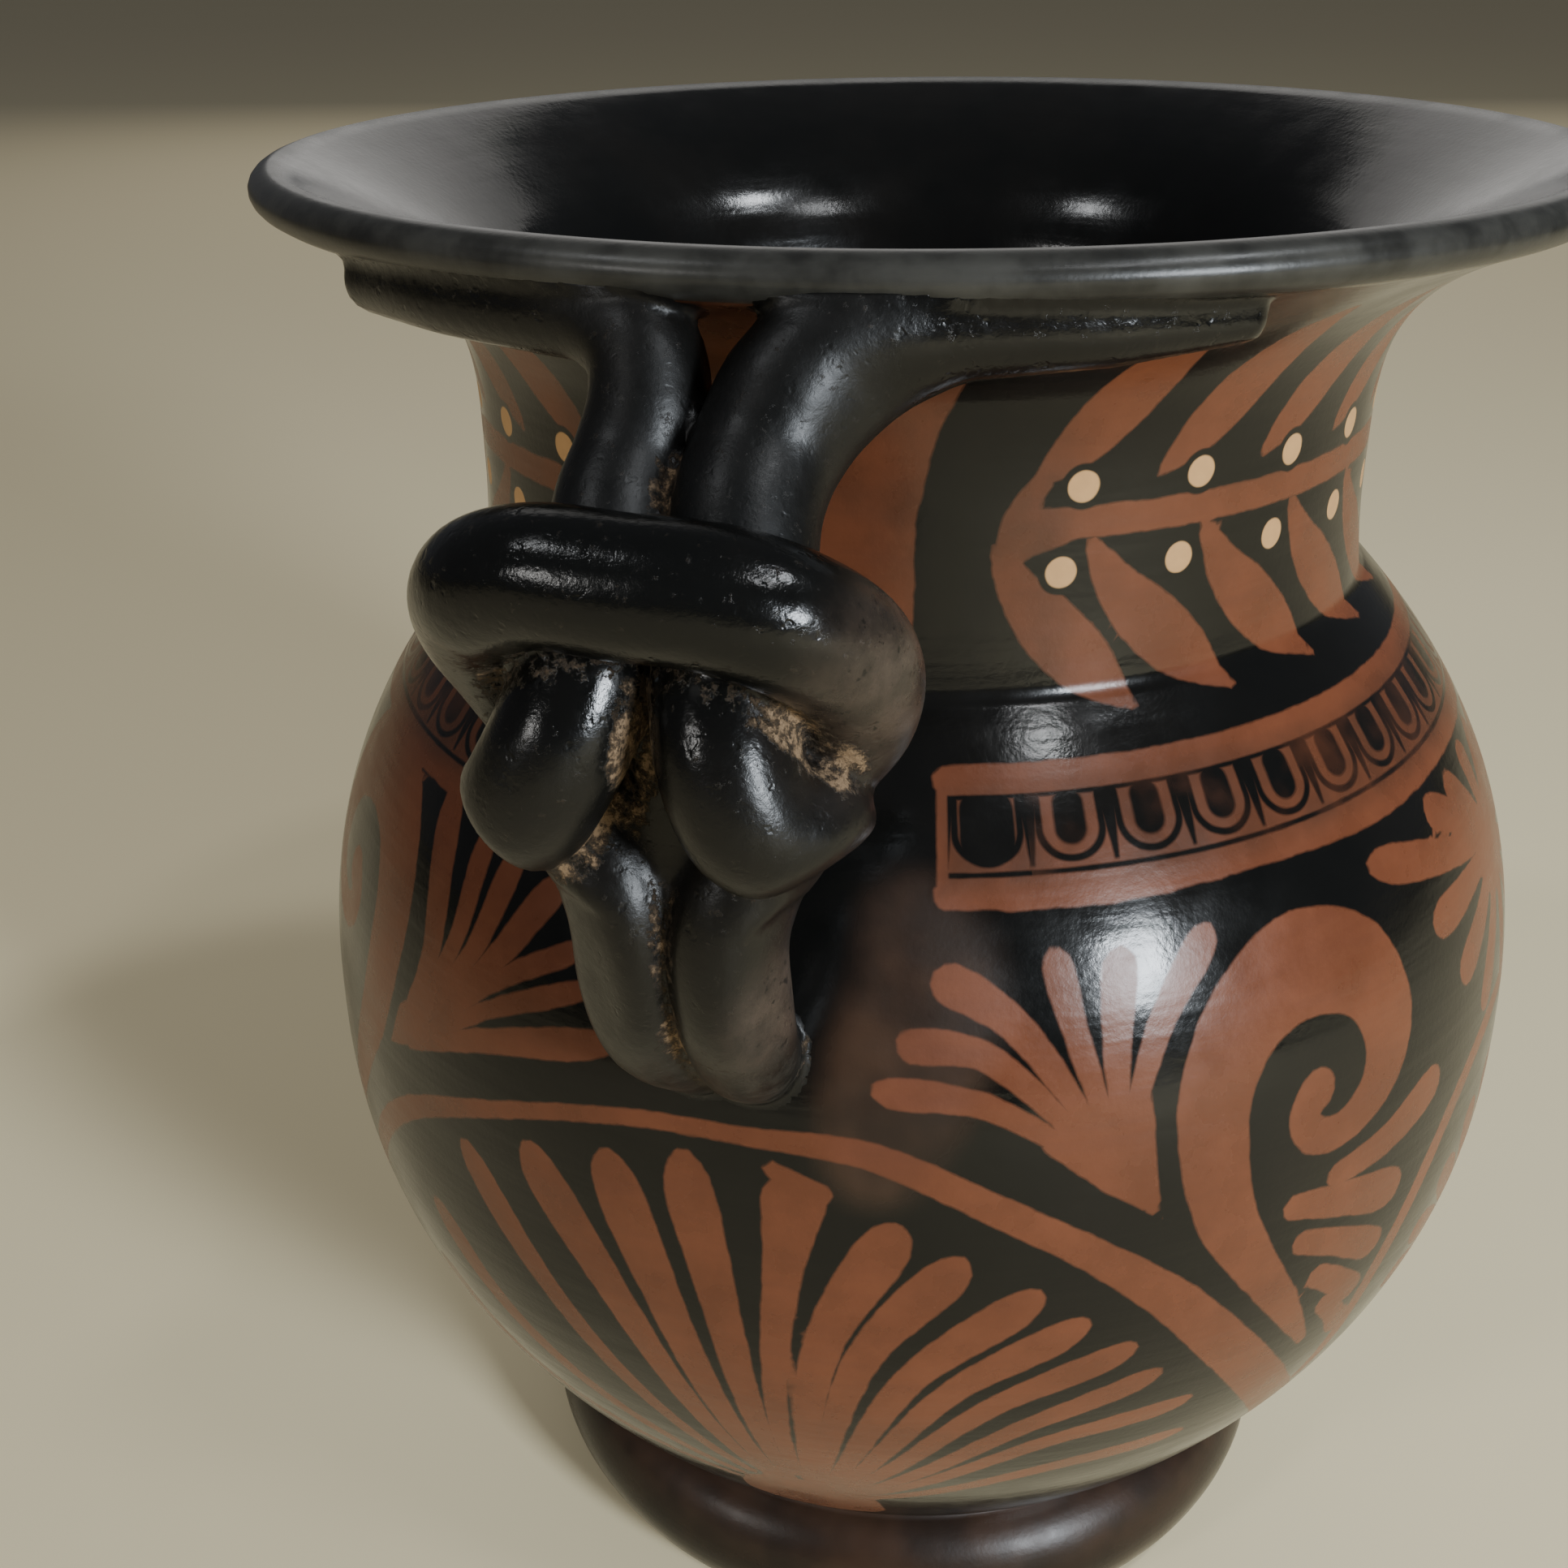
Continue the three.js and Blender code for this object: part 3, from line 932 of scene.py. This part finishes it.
def smooth_min(a, b, k):
    h = np.clip(0.5 + 0.5 * (b - a) / k, 0, 1)
    return mix(b, a, h) - k * h * (1 - h)


class Wall:
    """Signed distance from the vessel's outer section, kept on a fine flat grid."""

    STEP = 0.3

    def __init__(self, sizes, low, high):
        rings, zones = section(sizes)
        line = rings[(zones == "wall") | (zones == "lip")]
        self.low = np.array(low, float)
        count = np.ceil((np.array(high) - low) / self.STEP).astype(int) + 1
        r, z = (self.low[i] + self.STEP * np.arange(count[i]) for i in (0, 1))
        p = np.stack(np.meshgrid(r, z, indexing="ij"), -1)
        gap = np.full(p.shape[:2], 1e9)
        for a, b in zip(line[:-1], line[1:]):
            gap = np.minimum(gap, beside(p, a, b)[1])
        edge = np.interp(p[..., 1], line[:, 1], line[:, 0])
        inside = (p[..., 0] < edge) & (p[..., 1] < sizes.rim)
        self.field = np.where(inside, -gap, gap)

    def at(self, r, z):
        u = np.clip((r - self.low[0]) / self.STEP, 0, self.field.shape[0] - 1.001)
        v = np.clip((z - self.low[1]) / self.STEP, 0, self.field.shape[1] - 1.001)
        i, j = u.astype(int), v.astype(int)
        f = self.field
        low = mix(f[i, j], f[i + 1, j], u - i)
        return mix(low, mix(f[i, j + 1], f[i + 1, j + 1], u - i), v - j)


def hollows(block, field, points):
    """How far each point of the skin lies in a crease, from the clay that stands before it."""
    step = 0.5
    ways = step * np.eye(3)
    sides = [block.sample(field, points + w) - block.sample(field, points - w) for w in ways]
    slope = np.stack(sides, -1)
    slope /= np.linalg.norm(slope, axis=1)[:, None] + 1e-9
    hollow = np.zeros(len(points))
    for reach in (1.2, 2.4, 3.6):
        hollow += np.clip(1 - block.sample(field, points + reach * slope) / reach, 0, 1) / 3
    return hollow


def wear(points, hollow, sizes):
    """The handle's layers: soil in the creases, and where its gloss is rubbed, greyed or dull."""
    side, out, up = points.T

    def about(place, near, far):
        return 1 - smooth_step(near, far, np.linalg.norm(points - place, axis=1))

    soil, worn = np.zeros(len(points)), np.zeros(len(points))
    for place, reach, strength in SOIL:
        soil = np.maximum(soil, strength * about(place, 0.3 * reach, reach))
    crease = smooth_step(0.15, 0.5, hollow + 0.2 * np.minimum(soil, 0.8))
    soil = (soil + 0.32) * crease * (up < SOIL_TOP)
    for place, near, far in RUBBED:
        worn = np.maximum(worn, about(place, near, far))
    dull = smooth_step(*STRANDS_UP, up) * (1 - smooth_step(*STRANDS_SIDE, np.abs(side)))
    dull *= 1 - smooth_step(*STRANDS_OUT, out)
    dull = np.maximum(dull, 0.7 - 0.7 * smooth_step(*BELOW_KNOT, up))
    low = 1 - smooth_step(*STEMS_UP, up)
    low *= mix(0.4, 1.0, smooth_step(*STEMS_SIDE, side))
    low = low * smooth_step(0.5, 2.0, np.hypot(side, out) - sizes.outer(up))
    return {"soil": soil, "worn": worn, "low": low, "dull": dull}


def knot_handle(sizes):
    """The handle's clay: both coils luted together, to the belly and under the lip."""
    block = Block(*KNOT_SPACE, HANDLE_GRID)
    *coils, core, web = [block.coil(path, radii) for path, radii in Knot(sizes).coils()]
    for coil, place, facing, reach in FLATS:
        coils[coil] = shave(coils[coil], block, place, facing, reach)
    x, y, z = np.meshgrid(*block.axes(), indexing="ij", sparse=True)
    knot = smooth_min(coils[UPPER], web, WEB_FILLET)
    knot = smooth_min(smooth_min(knot, coils[LOWER], COIL_FILLET), core, CORE_FILLET)
    out = np.hypot(x, y)
    clay = Wall(sizes, *WALL_SPACE).at(out + 0 * z, z + 0 * out)
    fillet = mix(*WALL_FILLETS, smooth_step(*FILLET_HEIGHTS, z))
    joined = smooth_min(knot, clay, fillet) + SKIN_INSET
    field = np.maximum(joined, np.maximum(knot - FILLET_REACH, -(clay + SUNK)))
    field = np.maximum(field, z - (LIP_UNDER + SUNK))
    points, quads = block.skin(field)
    world = np.stack([points[:, 0], -points[:, 1], points[:, 2]], -1)
    layers = wear(points, hollows(block, np.minimum(joined, clay), points), sizes)
    return world, quads[:, ::-1], layers


def build_mesh(name, points, face_sets, layers):
    """A mesh in metres in the CAD frame, with one float attribute for each layer."""
    mesh = bpy.data.meshes.new(name)
    moved = points * MM + np.array([0.0, AXIS_Y, 0.0])
    corners = np.concatenate([f.reshape(-1) for f in face_sets])
    sizes = np.concatenate([np.full(len(f), f.shape[1]) for f in face_sets])
    mesh.vertices.add(len(moved))
    mesh.vertices.foreach_set("co", moved.reshape(-1))
    mesh.loops.add(len(corners))
    mesh.loops.foreach_set("vertex_index", corners.astype(np.int32))
    mesh.polygons.add(len(sizes))
    starts = np.concatenate([[0], np.cumsum(sizes)[:-1]])
    mesh.polygons.foreach_set("loop_start", starts.astype(np.int32))
    mesh.polygons.foreach_set("loop_total", sizes.astype(np.int32))
    mesh.update(calc_edges=True)
    mesh.validate()
    for layer, values in layers.items():
        attribute = mesh.attributes.new(layer, "FLOAT", "POINT")
        attribute.data.foreach_set("value", np.asarray(values, np.float32))
    mesh.shade_smooth()
    thing = bpy.data.objects.new(name, mesh)
    bpy.context.scene.collection.objects.link(thing)
    return thing


def toned(colour, share=1.0):
    return tuple(c * share for c in colour)


class Nodes:
    """Short words for building a node tree."""

    def __init__(self, name):
        self.material = bpy.data.materials.new(name)
        self.material.use_nodes = True
        self.tree = self.material.node_tree
        self.shader = self.tree.nodes["Principled BSDF"]
        self.place = self.tree.nodes.new("ShaderNodeTexCoord").outputs["Object"]

    def link(self, value, socket):
        if isinstance(value, bpy.types.NodeSocket):
            self.tree.links.new(value, socket)
        elif isinstance(value, (tuple, list)) and len(value) == 3 and socket.type == "RGBA":
            socket.default_value = (*value, 1.0)
        else:
            socket.default_value = value

    def math(self, operation, a, b=0.0, c=0.0, clamp=False):
        node = self.tree.nodes.new("ShaderNodeMath")
        node.operation = operation
        node.use_clamp = clamp
        for value, socket in zip((a, b, c), node.inputs):
            self.link(value, socket)
        return node.outputs[0]

    def times(self, a, b, clamp=False):
        return self.math("MULTIPLY", a, b, clamp=clamp)

    def plus(self, a, b, clamp=False):
        return self.math("ADD", a, b, clamp=clamp)

    def minus(self, a, b):
        return self.math("SUBTRACT", a, b)

    def larger(self, a, b):
        return self.math("MAXIMUM", a, b)

    def attribute(self, name):
        node = self.tree.nodes.new("ShaderNodeAttribute")
        node.attribute_name = name
        return node.outputs["Fac"]

    def noise(self, size, detail=2.0, rough=0.5, at=None):
        """Noise whose features are about size metres wide."""
        node = self.tree.nodes.new("ShaderNodeTexNoise")
        self.link(at or self.place, node.inputs["Vector"])
        node.inputs["Scale"].default_value = 1.0 / size
        node.inputs["Detail"].default_value = detail
        node.inputs["Roughness"].default_value = rough
        return node.outputs["Fac"]

    def remap(self, value, low, high, to_low=0.0, to_high=1.0, smooth=True):
        node = self.tree.nodes.new("ShaderNodeMapRange")
        node.interpolation_type = "SMOOTHSTEP" if smooth else "LINEAR"
        for item, socket in zip((value, low, high, to_low, to_high), node.inputs):
            self.link(item, socket)
        return node.outputs["Result"]

    def blend(self, share, a, b):
        node = self.tree.nodes.new("ShaderNodeMix")
        node.data_type = "RGBA"
        self.link(share, node.inputs["Factor"])
        self.link(a, node.inputs["A"])
        self.link(b, node.inputs["B"])
        return node.outputs["Result"]

    def stretched(self, x, y, z):
        node = self.tree.nodes.new("ShaderNodeMapping")
        self.link(self.place, node.inputs["Vector"])
        node.inputs["Scale"].default_value = (x, y, z)
        return node.outputs["Vector"]

    def bump(self, height, distance, strength, under=None):
        node = self.tree.nodes.new("ShaderNodeBump")
        node.inputs["Strength"].default_value = strength
        node.inputs["Distance"].default_value = distance
        self.link(height, node.inputs["Height"])
        if under is not None:
            self.link(under, node.inputs["Normal"])
        return node.outputs["Normal"]

    def finish(self, colour, roughness, normal, shine=0.5):
        self.shader.inputs["Specular IOR Level"].default_value = shine
        self.link(colour, self.shader.inputs["Base Color"])
        self.link(roughness, self.shader.inputs["Roughness"])
        self.link(normal, self.shader.inputs["Normal"])
        return self.material


def gloss_colour(n, colours, thin):
    """Black gloss, browner where it is thin, with faint cloudy firing marks."""
    cloud = n.remap(n.noise(0.03, 4.0, 0.6), 0.35, 0.75)
    base = n.blend(n.times(cloud, 0.5), toned(colours.gloss), CLOUDED_GLOSS)
    patch = n.remap(n.noise(0.014, 3.0, 0.6), 0.35, 0.7, 0.35, 1.0)
    return n.blend(n.times(thin, patch, clamp=True), base, toned(colours.thin_gloss))


def azimuth(n):
    """Degrees round the vessel from the handle, the same on both sides."""
    split = n.tree.nodes.new("ShaderNodeSeparateXYZ")
    n.link(n.place, split.inputs[0])
    side = n.math("ABSOLUTE", split.outputs["X"])
    out = n.minus(AXIS_Y, split.outputs["Y"])
    return n.times(n.math("ARCTAN2", side, out), math.degrees(1.0))


def laurel_berries(n, turn, arc, wobble):
    """Cream berries in the forks of the laurel, and the black round each."""
    reach = []
    for first, height in ((BERRY_UP, STEM_ARC + BERRY_RISE), (BERRY_DOWN, STEM_ARC - BERRY_FALL)):
        step = n.math("PINGPONG", n.plus(turn, LEAF_PITCH * 4 - first), LEAF_PITCH / 2)
        across = n.times(step, math.radians(LAUREL_RADIUS + 0.4))
        up = n.minus(arc, height)
        gap = n.math("SQRT", n.plus(n.math("POWER", across, 2), n.times(up, up)))
        reach.append(n.plus(gap, wobble))
    gap = n.math("MINIMUM", *reach)
    live = n.remap(turn, BERRY_DOWN - 3, BERRY_DOWN - 2.9)
    berries = n.times(n.remap(gap, 1.62, 1.38), live)
    rings = n.times(n.remap(gap, 2.35, 2.05), live)
    return berries, rings


def egg_band(n, turn, arc, wobble):
    """The dark eggs, their cups, the darts between and the two thin lines."""
    step = n.math("PINGPONG", n.plus(turn, EGG_PITCH * 4 - FIRST_EGG), EGG_PITCH / 2)
    dart = n.minus(EGG_PITCH / 2, step)

    def capsule(low, high):
        up = n.minus(arc, n.math("MINIMUM", n.larger(arc, low), high))
        square = n.plus(n.times(step, step), n.times(up, up))
        return n.plus(n.math("SQRT", square), wobble)

    def line(height, half):
        gap = n.math("ABSOLUTE", n.minus(arc, height))
        return n.remap(n.plus(gap, wobble), half + 0.16, half - 0.16)

    egg = n.remap(capsule(EGG_LOW, EGG_LOW + 2.3), 1.75, 1.25)
    cup = n.math("ABSOLUTE", n.minus(capsule(EGG_LOW + 0.2, UPPER_LINE + 11), 2.95))
    cup = n.remap(cup, 0.52, 0.18)
    width = n.remap(arc, BAND_FOOT + 0.9, BAND_TOP - 1.3, 0.2, 0.75, smooth=False)
    darts = n.remap(n.plus(n.minus(dart, width), wobble), 0.2, -0.15)
    above_foot = n.remap(arc, BAND_FOOT + 0.3, BAND_FOOT + 0.8)
    within = n.times(above_foot, n.remap(arc, BAND_TOP + 0.3, BAND_TOP - 0.1))
    live = n.remap(turn, PANEL_EDGE + 1.0, PANEL_EDGE + 1.3)
    marks = n.larger(n.larger(egg, cup), darts)
    # The egg next to the panel is filled in whole
    past_first = FIRST_EGG + EGG_PITCH * 0.5
    first = n.remap(turn, past_first, past_first - 0.2)
    solid = n.remap(capsule(EGG_LOW - 0.7, EGG_LOW + 2.1), 2.7, 2.3)
    marks = n.larger(marks, n.times(solid, first))
    marks = n.times(marks, within)
    lines = n.larger(line(BAND_TOP, 0.22), line(BAND_FOOT, 0.26))
    marks = n.times(n.larger(marks, lines), live)
    patchy = n.remap(n.noise(0.011, 3.0, 0.6), 0.3, 0.6, 0.55, 1.0)
    return n.times(marks, n.larger(patchy, first))


def painted_clay(colours):
    """Reserved red clay under black gloss, from the painted layers."""
    n = Nodes("painted_clay")
    wobble = n.times(n.minus(n.noise(0.0022, 3.0), 0.5), 0.45)

    def painted(layer, soft):
        edge = n.plus(n.attribute(layer), wobble)
        return n.remap(edge, -soft, soft)

    arc = n.attribute("arc")
    turn = azimuth(n)
    fine = n.times(wobble, 0.35)
    eggs = egg_band(n, turn, arc, fine)
    berries, rings = laurel_berries(n, turn, arc, fine)
    red = n.larger(painted("red_a", 0.2), painted("red_b", 0.2))
    red = n.times(red, n.minus(1.0, n.larger(eggs, rings)))
    thin = n.attribute("thin")
    gloss = gloss_colour(n, colours, thin)
    tone = n.remap(n.noise(0.012, 5.0, 0.65), 0.3, 0.72)
    streak = n.noise(0.004, 3.0, 0.6, at=n.stretched(0.25, 0.25, 2.0))
    clay = n.blend(tone, toned(colours.clay, 0.72), toned(colours.clay))
    clay = n.blend(n.remap(streak, 0.45, 0.8, 0.0, 0.35), clay, STREAKED_CLAY)
    # The wash colour darkens the clay: a real thin wash in the egg band, and painted shade of the
    # handle's shadow on the neck
    worn = n.remap(n.noise(0.009, 3.0, 0.6), 0.3, 0.7, 0.35, 0.8)
    clay = n.blend(n.times(n.attribute("wash_and_shade"), worn), clay, WASH_AND_SHADE_CLAY)
    # The lip's crest is greyed: partly worn gloss, partly a painted sheen of the light from above
    rim = n.attribute("rim")
    crest = n.times(rim, n.remap(n.noise(0.006, 4.0, 0.6), 0.3, 0.7, 0.25, 0.8))
    gloss = n.blend(crest, gloss, WORN_AND_SHEEN_CREST)
    colour = n.blend(red, gloss, clay)
    speck = n.remap(n.noise(0.0012, 2.0), 0.35, 0.7, 0.8, 1.0)
    berry = n.blend(speck, toned(colours.cream, 0.7), toned(colours.cream))
    colour = n.blend(berries, colour, berry)
    rough = n.remap(n.noise(0.006, 4.0, 0.6), 0.3, 0.7, 0.13, 0.21)
    for mark, share in ((red, 0.12), (berries, 0.3), (thin, 0.22), (rim, 0.16)):
        rough = n.plus(rough, n.times(mark, share))
    wheel = n.noise(0.003, 2.0, 0.5, at=n.stretched(0.12, 0.12, 1.4))
    normal = n.bump(wheel, 0.00012, 0.5)
    grain = n.noise(0.0007, 3.0, 0.6)
    normal = n.bump(grain, 0.00003, 0.6, normal)
    return n.finish(colour, rough, normal, 0.25)


def handle_gloss(colours):
    """The handle's gloss: burnished, rubbed brown in places, with soil in the creases."""
    n = Nodes("handle_gloss")
    creases, worn, low, dull = (n.attribute(name) for name in ("soil", "worn", "low", "dull"))
    gloss = gloss_colour(n, colours, 0.0)
    patch = n.remap(n.noise(0.004, 4.0, 0.65), 0.3, 0.72, 0.35, 1.0)
    pits = n.remap(n.noise(0.0009, 3.0, 0.6), 0.60, 0.70)
    rub = n.times(worn, patch)
    colour = n.blend(rub, gloss, RUBBED_GLOSS)
    pitted = n.times(pits, n.times(worn, 0.9))
    colour = n.blend(pitted, colour, toned(colours.gloss))
    grey = n.times(low, n.remap(n.noise(0.003, 4.0, 0.6), 0.35, 0.7))
    colour = n.blend(n.times(grey, 0.7), colour, GREYED_GLOSS)
    dust = n.remap(n.noise(0.0011, 6.0, 0.75), 0.32, 0.68, -0.42, 0.42)
    film = n.remap(n.plus(creases, dust), 0.30, 0.95)
    crumbs = n.remap(n.noise(0.0005, 5.0, 0.75), 0.45, 0.62)
    pale = n.remap(n.plus(creases, dust), 0.72, 1.15)
    soil = n.blend(crumbs, toned(colours.residue, 0.28), toned(colours.residue, 0.62))
    soil = n.blend(pale, soil, toned(colours.residue, 0.95))
    colour = n.blend(film, colour, soil)
    rough = n.remap(n.noise(0.003, 5.0, 0.65), 0.3, 0.7, 0.11, 0.20)
    for mark, share in ((n.larger(worn, low), 0.14), (dull, 0.24)):
        rough = n.plus(rough, n.times(mark, share))
    rough = n.plus(rough, n.times(film, 0.5), clamp=True)
    lumps = n.bump(n.noise(0.006, 3.0, 0.5), 0.0003, 0.35)
    knocks = n.remap(n.noise(0.0014, 2.0, 0.5), 0.62, 0.75)
    dents = n.bump(n.times(knocks, -1.0), 0.00006, 0.5, lumps)
    brush = n.bump(n.noise(0.0010, 5.0, 0.65), 0.00007, 0.8, dents)
    grit = n.bump(n.times(film, n.noise(0.0006, 4.0, 0.7)), 0.0003, 0.8, brush)
    return n.finish(colour, rough, grit, 0.23)


def plain_floor(colour):
    n = Nodes("plain_floor")
    tone = n.blend(n.noise(0.5, 1.0), toned(colour, 0.98), toned(colour))
    return n.finish(tone, 0.85, n.bump(n.noise(0.01), 0.0001, 0.1))


class OLPE_OT_vessel(bpy.types.Operator):
    """Throw the hollow vessel and paint its pattern"""

    bl_idname = "olpe.vessel"
    bl_label = "Throw and paint the vessel"

    def execute(self, context):
        sizes = Sizes(context.scene.olpe_sizes)
        points, quads, triangles, layers = throw_vessel(sizes)
        vessel = build_mesh("painted_vessel", points, (quads, triangles), layers)
        vessel.data.materials.append(painted_clay(context.scene.olpe_colours))
        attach(vessel, "root")
        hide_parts(NODE)
        return {"FINISHED"}


class OLPE_OT_handle(bpy.types.Operator):
    """Tie the two coils of the handle and lute them on"""

    bl_idname = "olpe.handle"
    bl_label = "Tie the handle"

    def execute(self, context):
        sizes = Sizes(context.scene.olpe_sizes)
        points, quads, layers = knot_handle(sizes)
        handle = build_mesh("knotted_handle", points, (quads,), layers)
        handle.data.materials.append(handle_gloss(context.scene.olpe_colours))
        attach(handle, "root")
        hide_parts(NODE)
        return {"FINISHED"}


# The camera, in the frame turned so that it stands straight before the vessel's axis
CAMERA_TURN = 13.0
CAMERA_DISTANCE = 202.78
CAMERA_HEIGHT = 197.94
CAMERA_PITCH = 26.557
CAMERA_YAW = -4.557
CAMERA_ROLL = -0.868
FOCAL_PIXELS = 2194.8
FRAME_PIXELS = 1932.0
SENSOR = 36.0

FLOOR_HALF = 6.0
WORLD_COLOUR = (0.90, 0.93, 1.0, 1.0)
WORLD_STRENGTH = 0.12
LIT_HEIGHT = 0.10

# Each light: name, direction from the vessel, distance, width, height, power, colour
LIGHTS = (
    ("window", (0.77, -0.56, 0.26), 0.95, 0.17, 0.20, 13.0, (0.86, 0.93, 1.0)),
    ("high_window", (0.52, -0.06, 0.85), 0.95, 0.10, 0.09, 2.6, (0.92, 0.96, 1.0)),
    ("shoulder_light", (0.46, -0.34, 0.82), 0.95, 0.10, 0.06, 1.0, (0.96, 0.98, 1.0)),
    ("left_window", (-0.46, -0.38, 0.80), 0.95, 0.09, 0.08, 1.1, (0.96, 0.98, 1.0)),
    ("low_left", (-0.49, -0.80, 0.34), 1.10, 0.14, 0.11, 2.0, (1.0, 0.98, 0.95)),
    ("far_wall", (-0.18, 0.90, 0.42), 1.60, 1.60, 0.90, 4.6, (1.0, 0.97, 0.92)),
)


def soft_light(name, place, target, width, height, power, colour):
    data = bpy.data.lights.new(name, "AREA")
    data.shape = "RECTANGLE"
    data.size, data.size_y = width, height
    data.energy = power
    data.color = colour
    light = bpy.data.objects.new(name, data)
    light.location = place
    light.rotation_mode = "QUATERNION"
    light.rotation_quaternion = (Vector(target) - Vector(place)).to_track_quat("-Z", "Y")
    bpy.context.scene.collection.objects.link(light)


class OLPE_OT_stage(bpy.types.Operator):
    """Lay the floor, hang the lights and set the camera"""

    bl_idname = "olpe.stage"
    bl_label = "Set the stage"

    def execute(self, context):
        scene = context.scene
        half = FLOOR_HALF
        mesh = bpy.data.meshes.new("floor")
        corners = [(-half, -half, 0), (half, -half, 0), (half, half, 0), (-half, half, 0)]
        mesh.from_pydata(corners, [], [(0, 1, 2, 3)])
        mesh.materials.append(plain_floor(scene.olpe_colours.floor))
        floor = bpy.data.objects.new("floor", mesh)
        scene.collection.objects.link(floor)

        world = bpy.data.worlds.new("studio")
        world.use_nodes = True
        background = world.node_tree.nodes["Background"]
        background.inputs["Color"].default_value = WORLD_COLOUR
        background.inputs["Strength"].default_value = WORLD_STRENGTH
        scene.world = world
        middle = Vector((0.0, AXIS_Y, LIT_HEIGHT))
        for name, way, reach, width, height, power, colour in LIGHTS:
            soft_light(name, middle + Vector(way) * reach, middle, width, height, power, colour)

        data = bpy.data.cameras.new("camera")
        data.sensor_fit = "HORIZONTAL"
        data.sensor_width = SENSOR
        data.lens = FOCAL_PIXELS / FRAME_PIXELS * SENSOR
        data.clip_start = 0.01
        camera = bpy.data.objects.new("camera", data)
        scene.collection.objects.link(camera)
        pitch, yaw, roll = (math.radians(v) for v in (CAMERA_PITCH, CAMERA_YAW, CAMERA_ROLL))
        ahead = Vector(
            (math.sin(yaw) * math.cos(pitch), math.cos(yaw) * math.cos(pitch), -math.sin(pitch))
        )
        right = Vector((math.cos(yaw), -math.sin(yaw), 0.0))
        above = right.cross(ahead)
        right, above = (
            math.cos(roll) * right + math.sin(roll) * above,
            math.cos(roll) * above - math.sin(roll) * right,
        )
        turn = Matrix.Rotation(math.radians(CAMERA_TURN), 4, "Z")
        rows = Matrix((right, above, -ahead)).transposed().to_4x4()
        stand = Matrix.Translation((0, -CAMERA_DISTANCE * MM, CAMERA_HEIGHT * MM))
        camera.matrix_world = Matrix.Translation((0, AXIS_Y, 0)) @ turn @ stand @ rows
        scene.camera = camera
        return {"FINISHED"}


class OLPE_PT_panel(bpy.types.Panel):
    """Sizes, colours and steps of the olpe"""

    bl_idname = "OLPE_PT_panel"
    bl_label = "Red-figure olpe"
    bl_space_type = "VIEW_3D"
    bl_region_type = "UI"
    bl_category = "Olpe"

    def draw(self, context):
        for group in (context.scene.olpe_sizes, context.scene.olpe_colours):
            box = self.layout.box()
            for name in group.__annotations__:
                box.prop(group, name)
        for step in STEPS:
            self.layout.operator(step.bl_idname)


STEPS = (OLPE_OT_stage, OLPE_OT_vessel, OLPE_OT_handle)
CLASSES = (OlpeSizes, OlpeColours, *STEPS, OLPE_PT_panel)


def register():
    for item in CLASSES:
        bpy.utils.register_class(item)
    bpy.types.Scene.olpe_sizes = PointerProperty(type=OlpeSizes)
    bpy.types.Scene.olpe_colours = PointerProperty(type=OlpeColours)


def unregister():
    del bpy.types.Scene.olpe_colours
    del bpy.types.Scene.olpe_sizes
    for item in reversed(CLASSES):
        bpy.utils.unregister_class(item)


def main():
    register()
    bpy.ops.olpe.stage()
    bpy.ops.olpe.vessel()
    bpy.ops.olpe.handle()


if __name__ == "__main__":
    main()
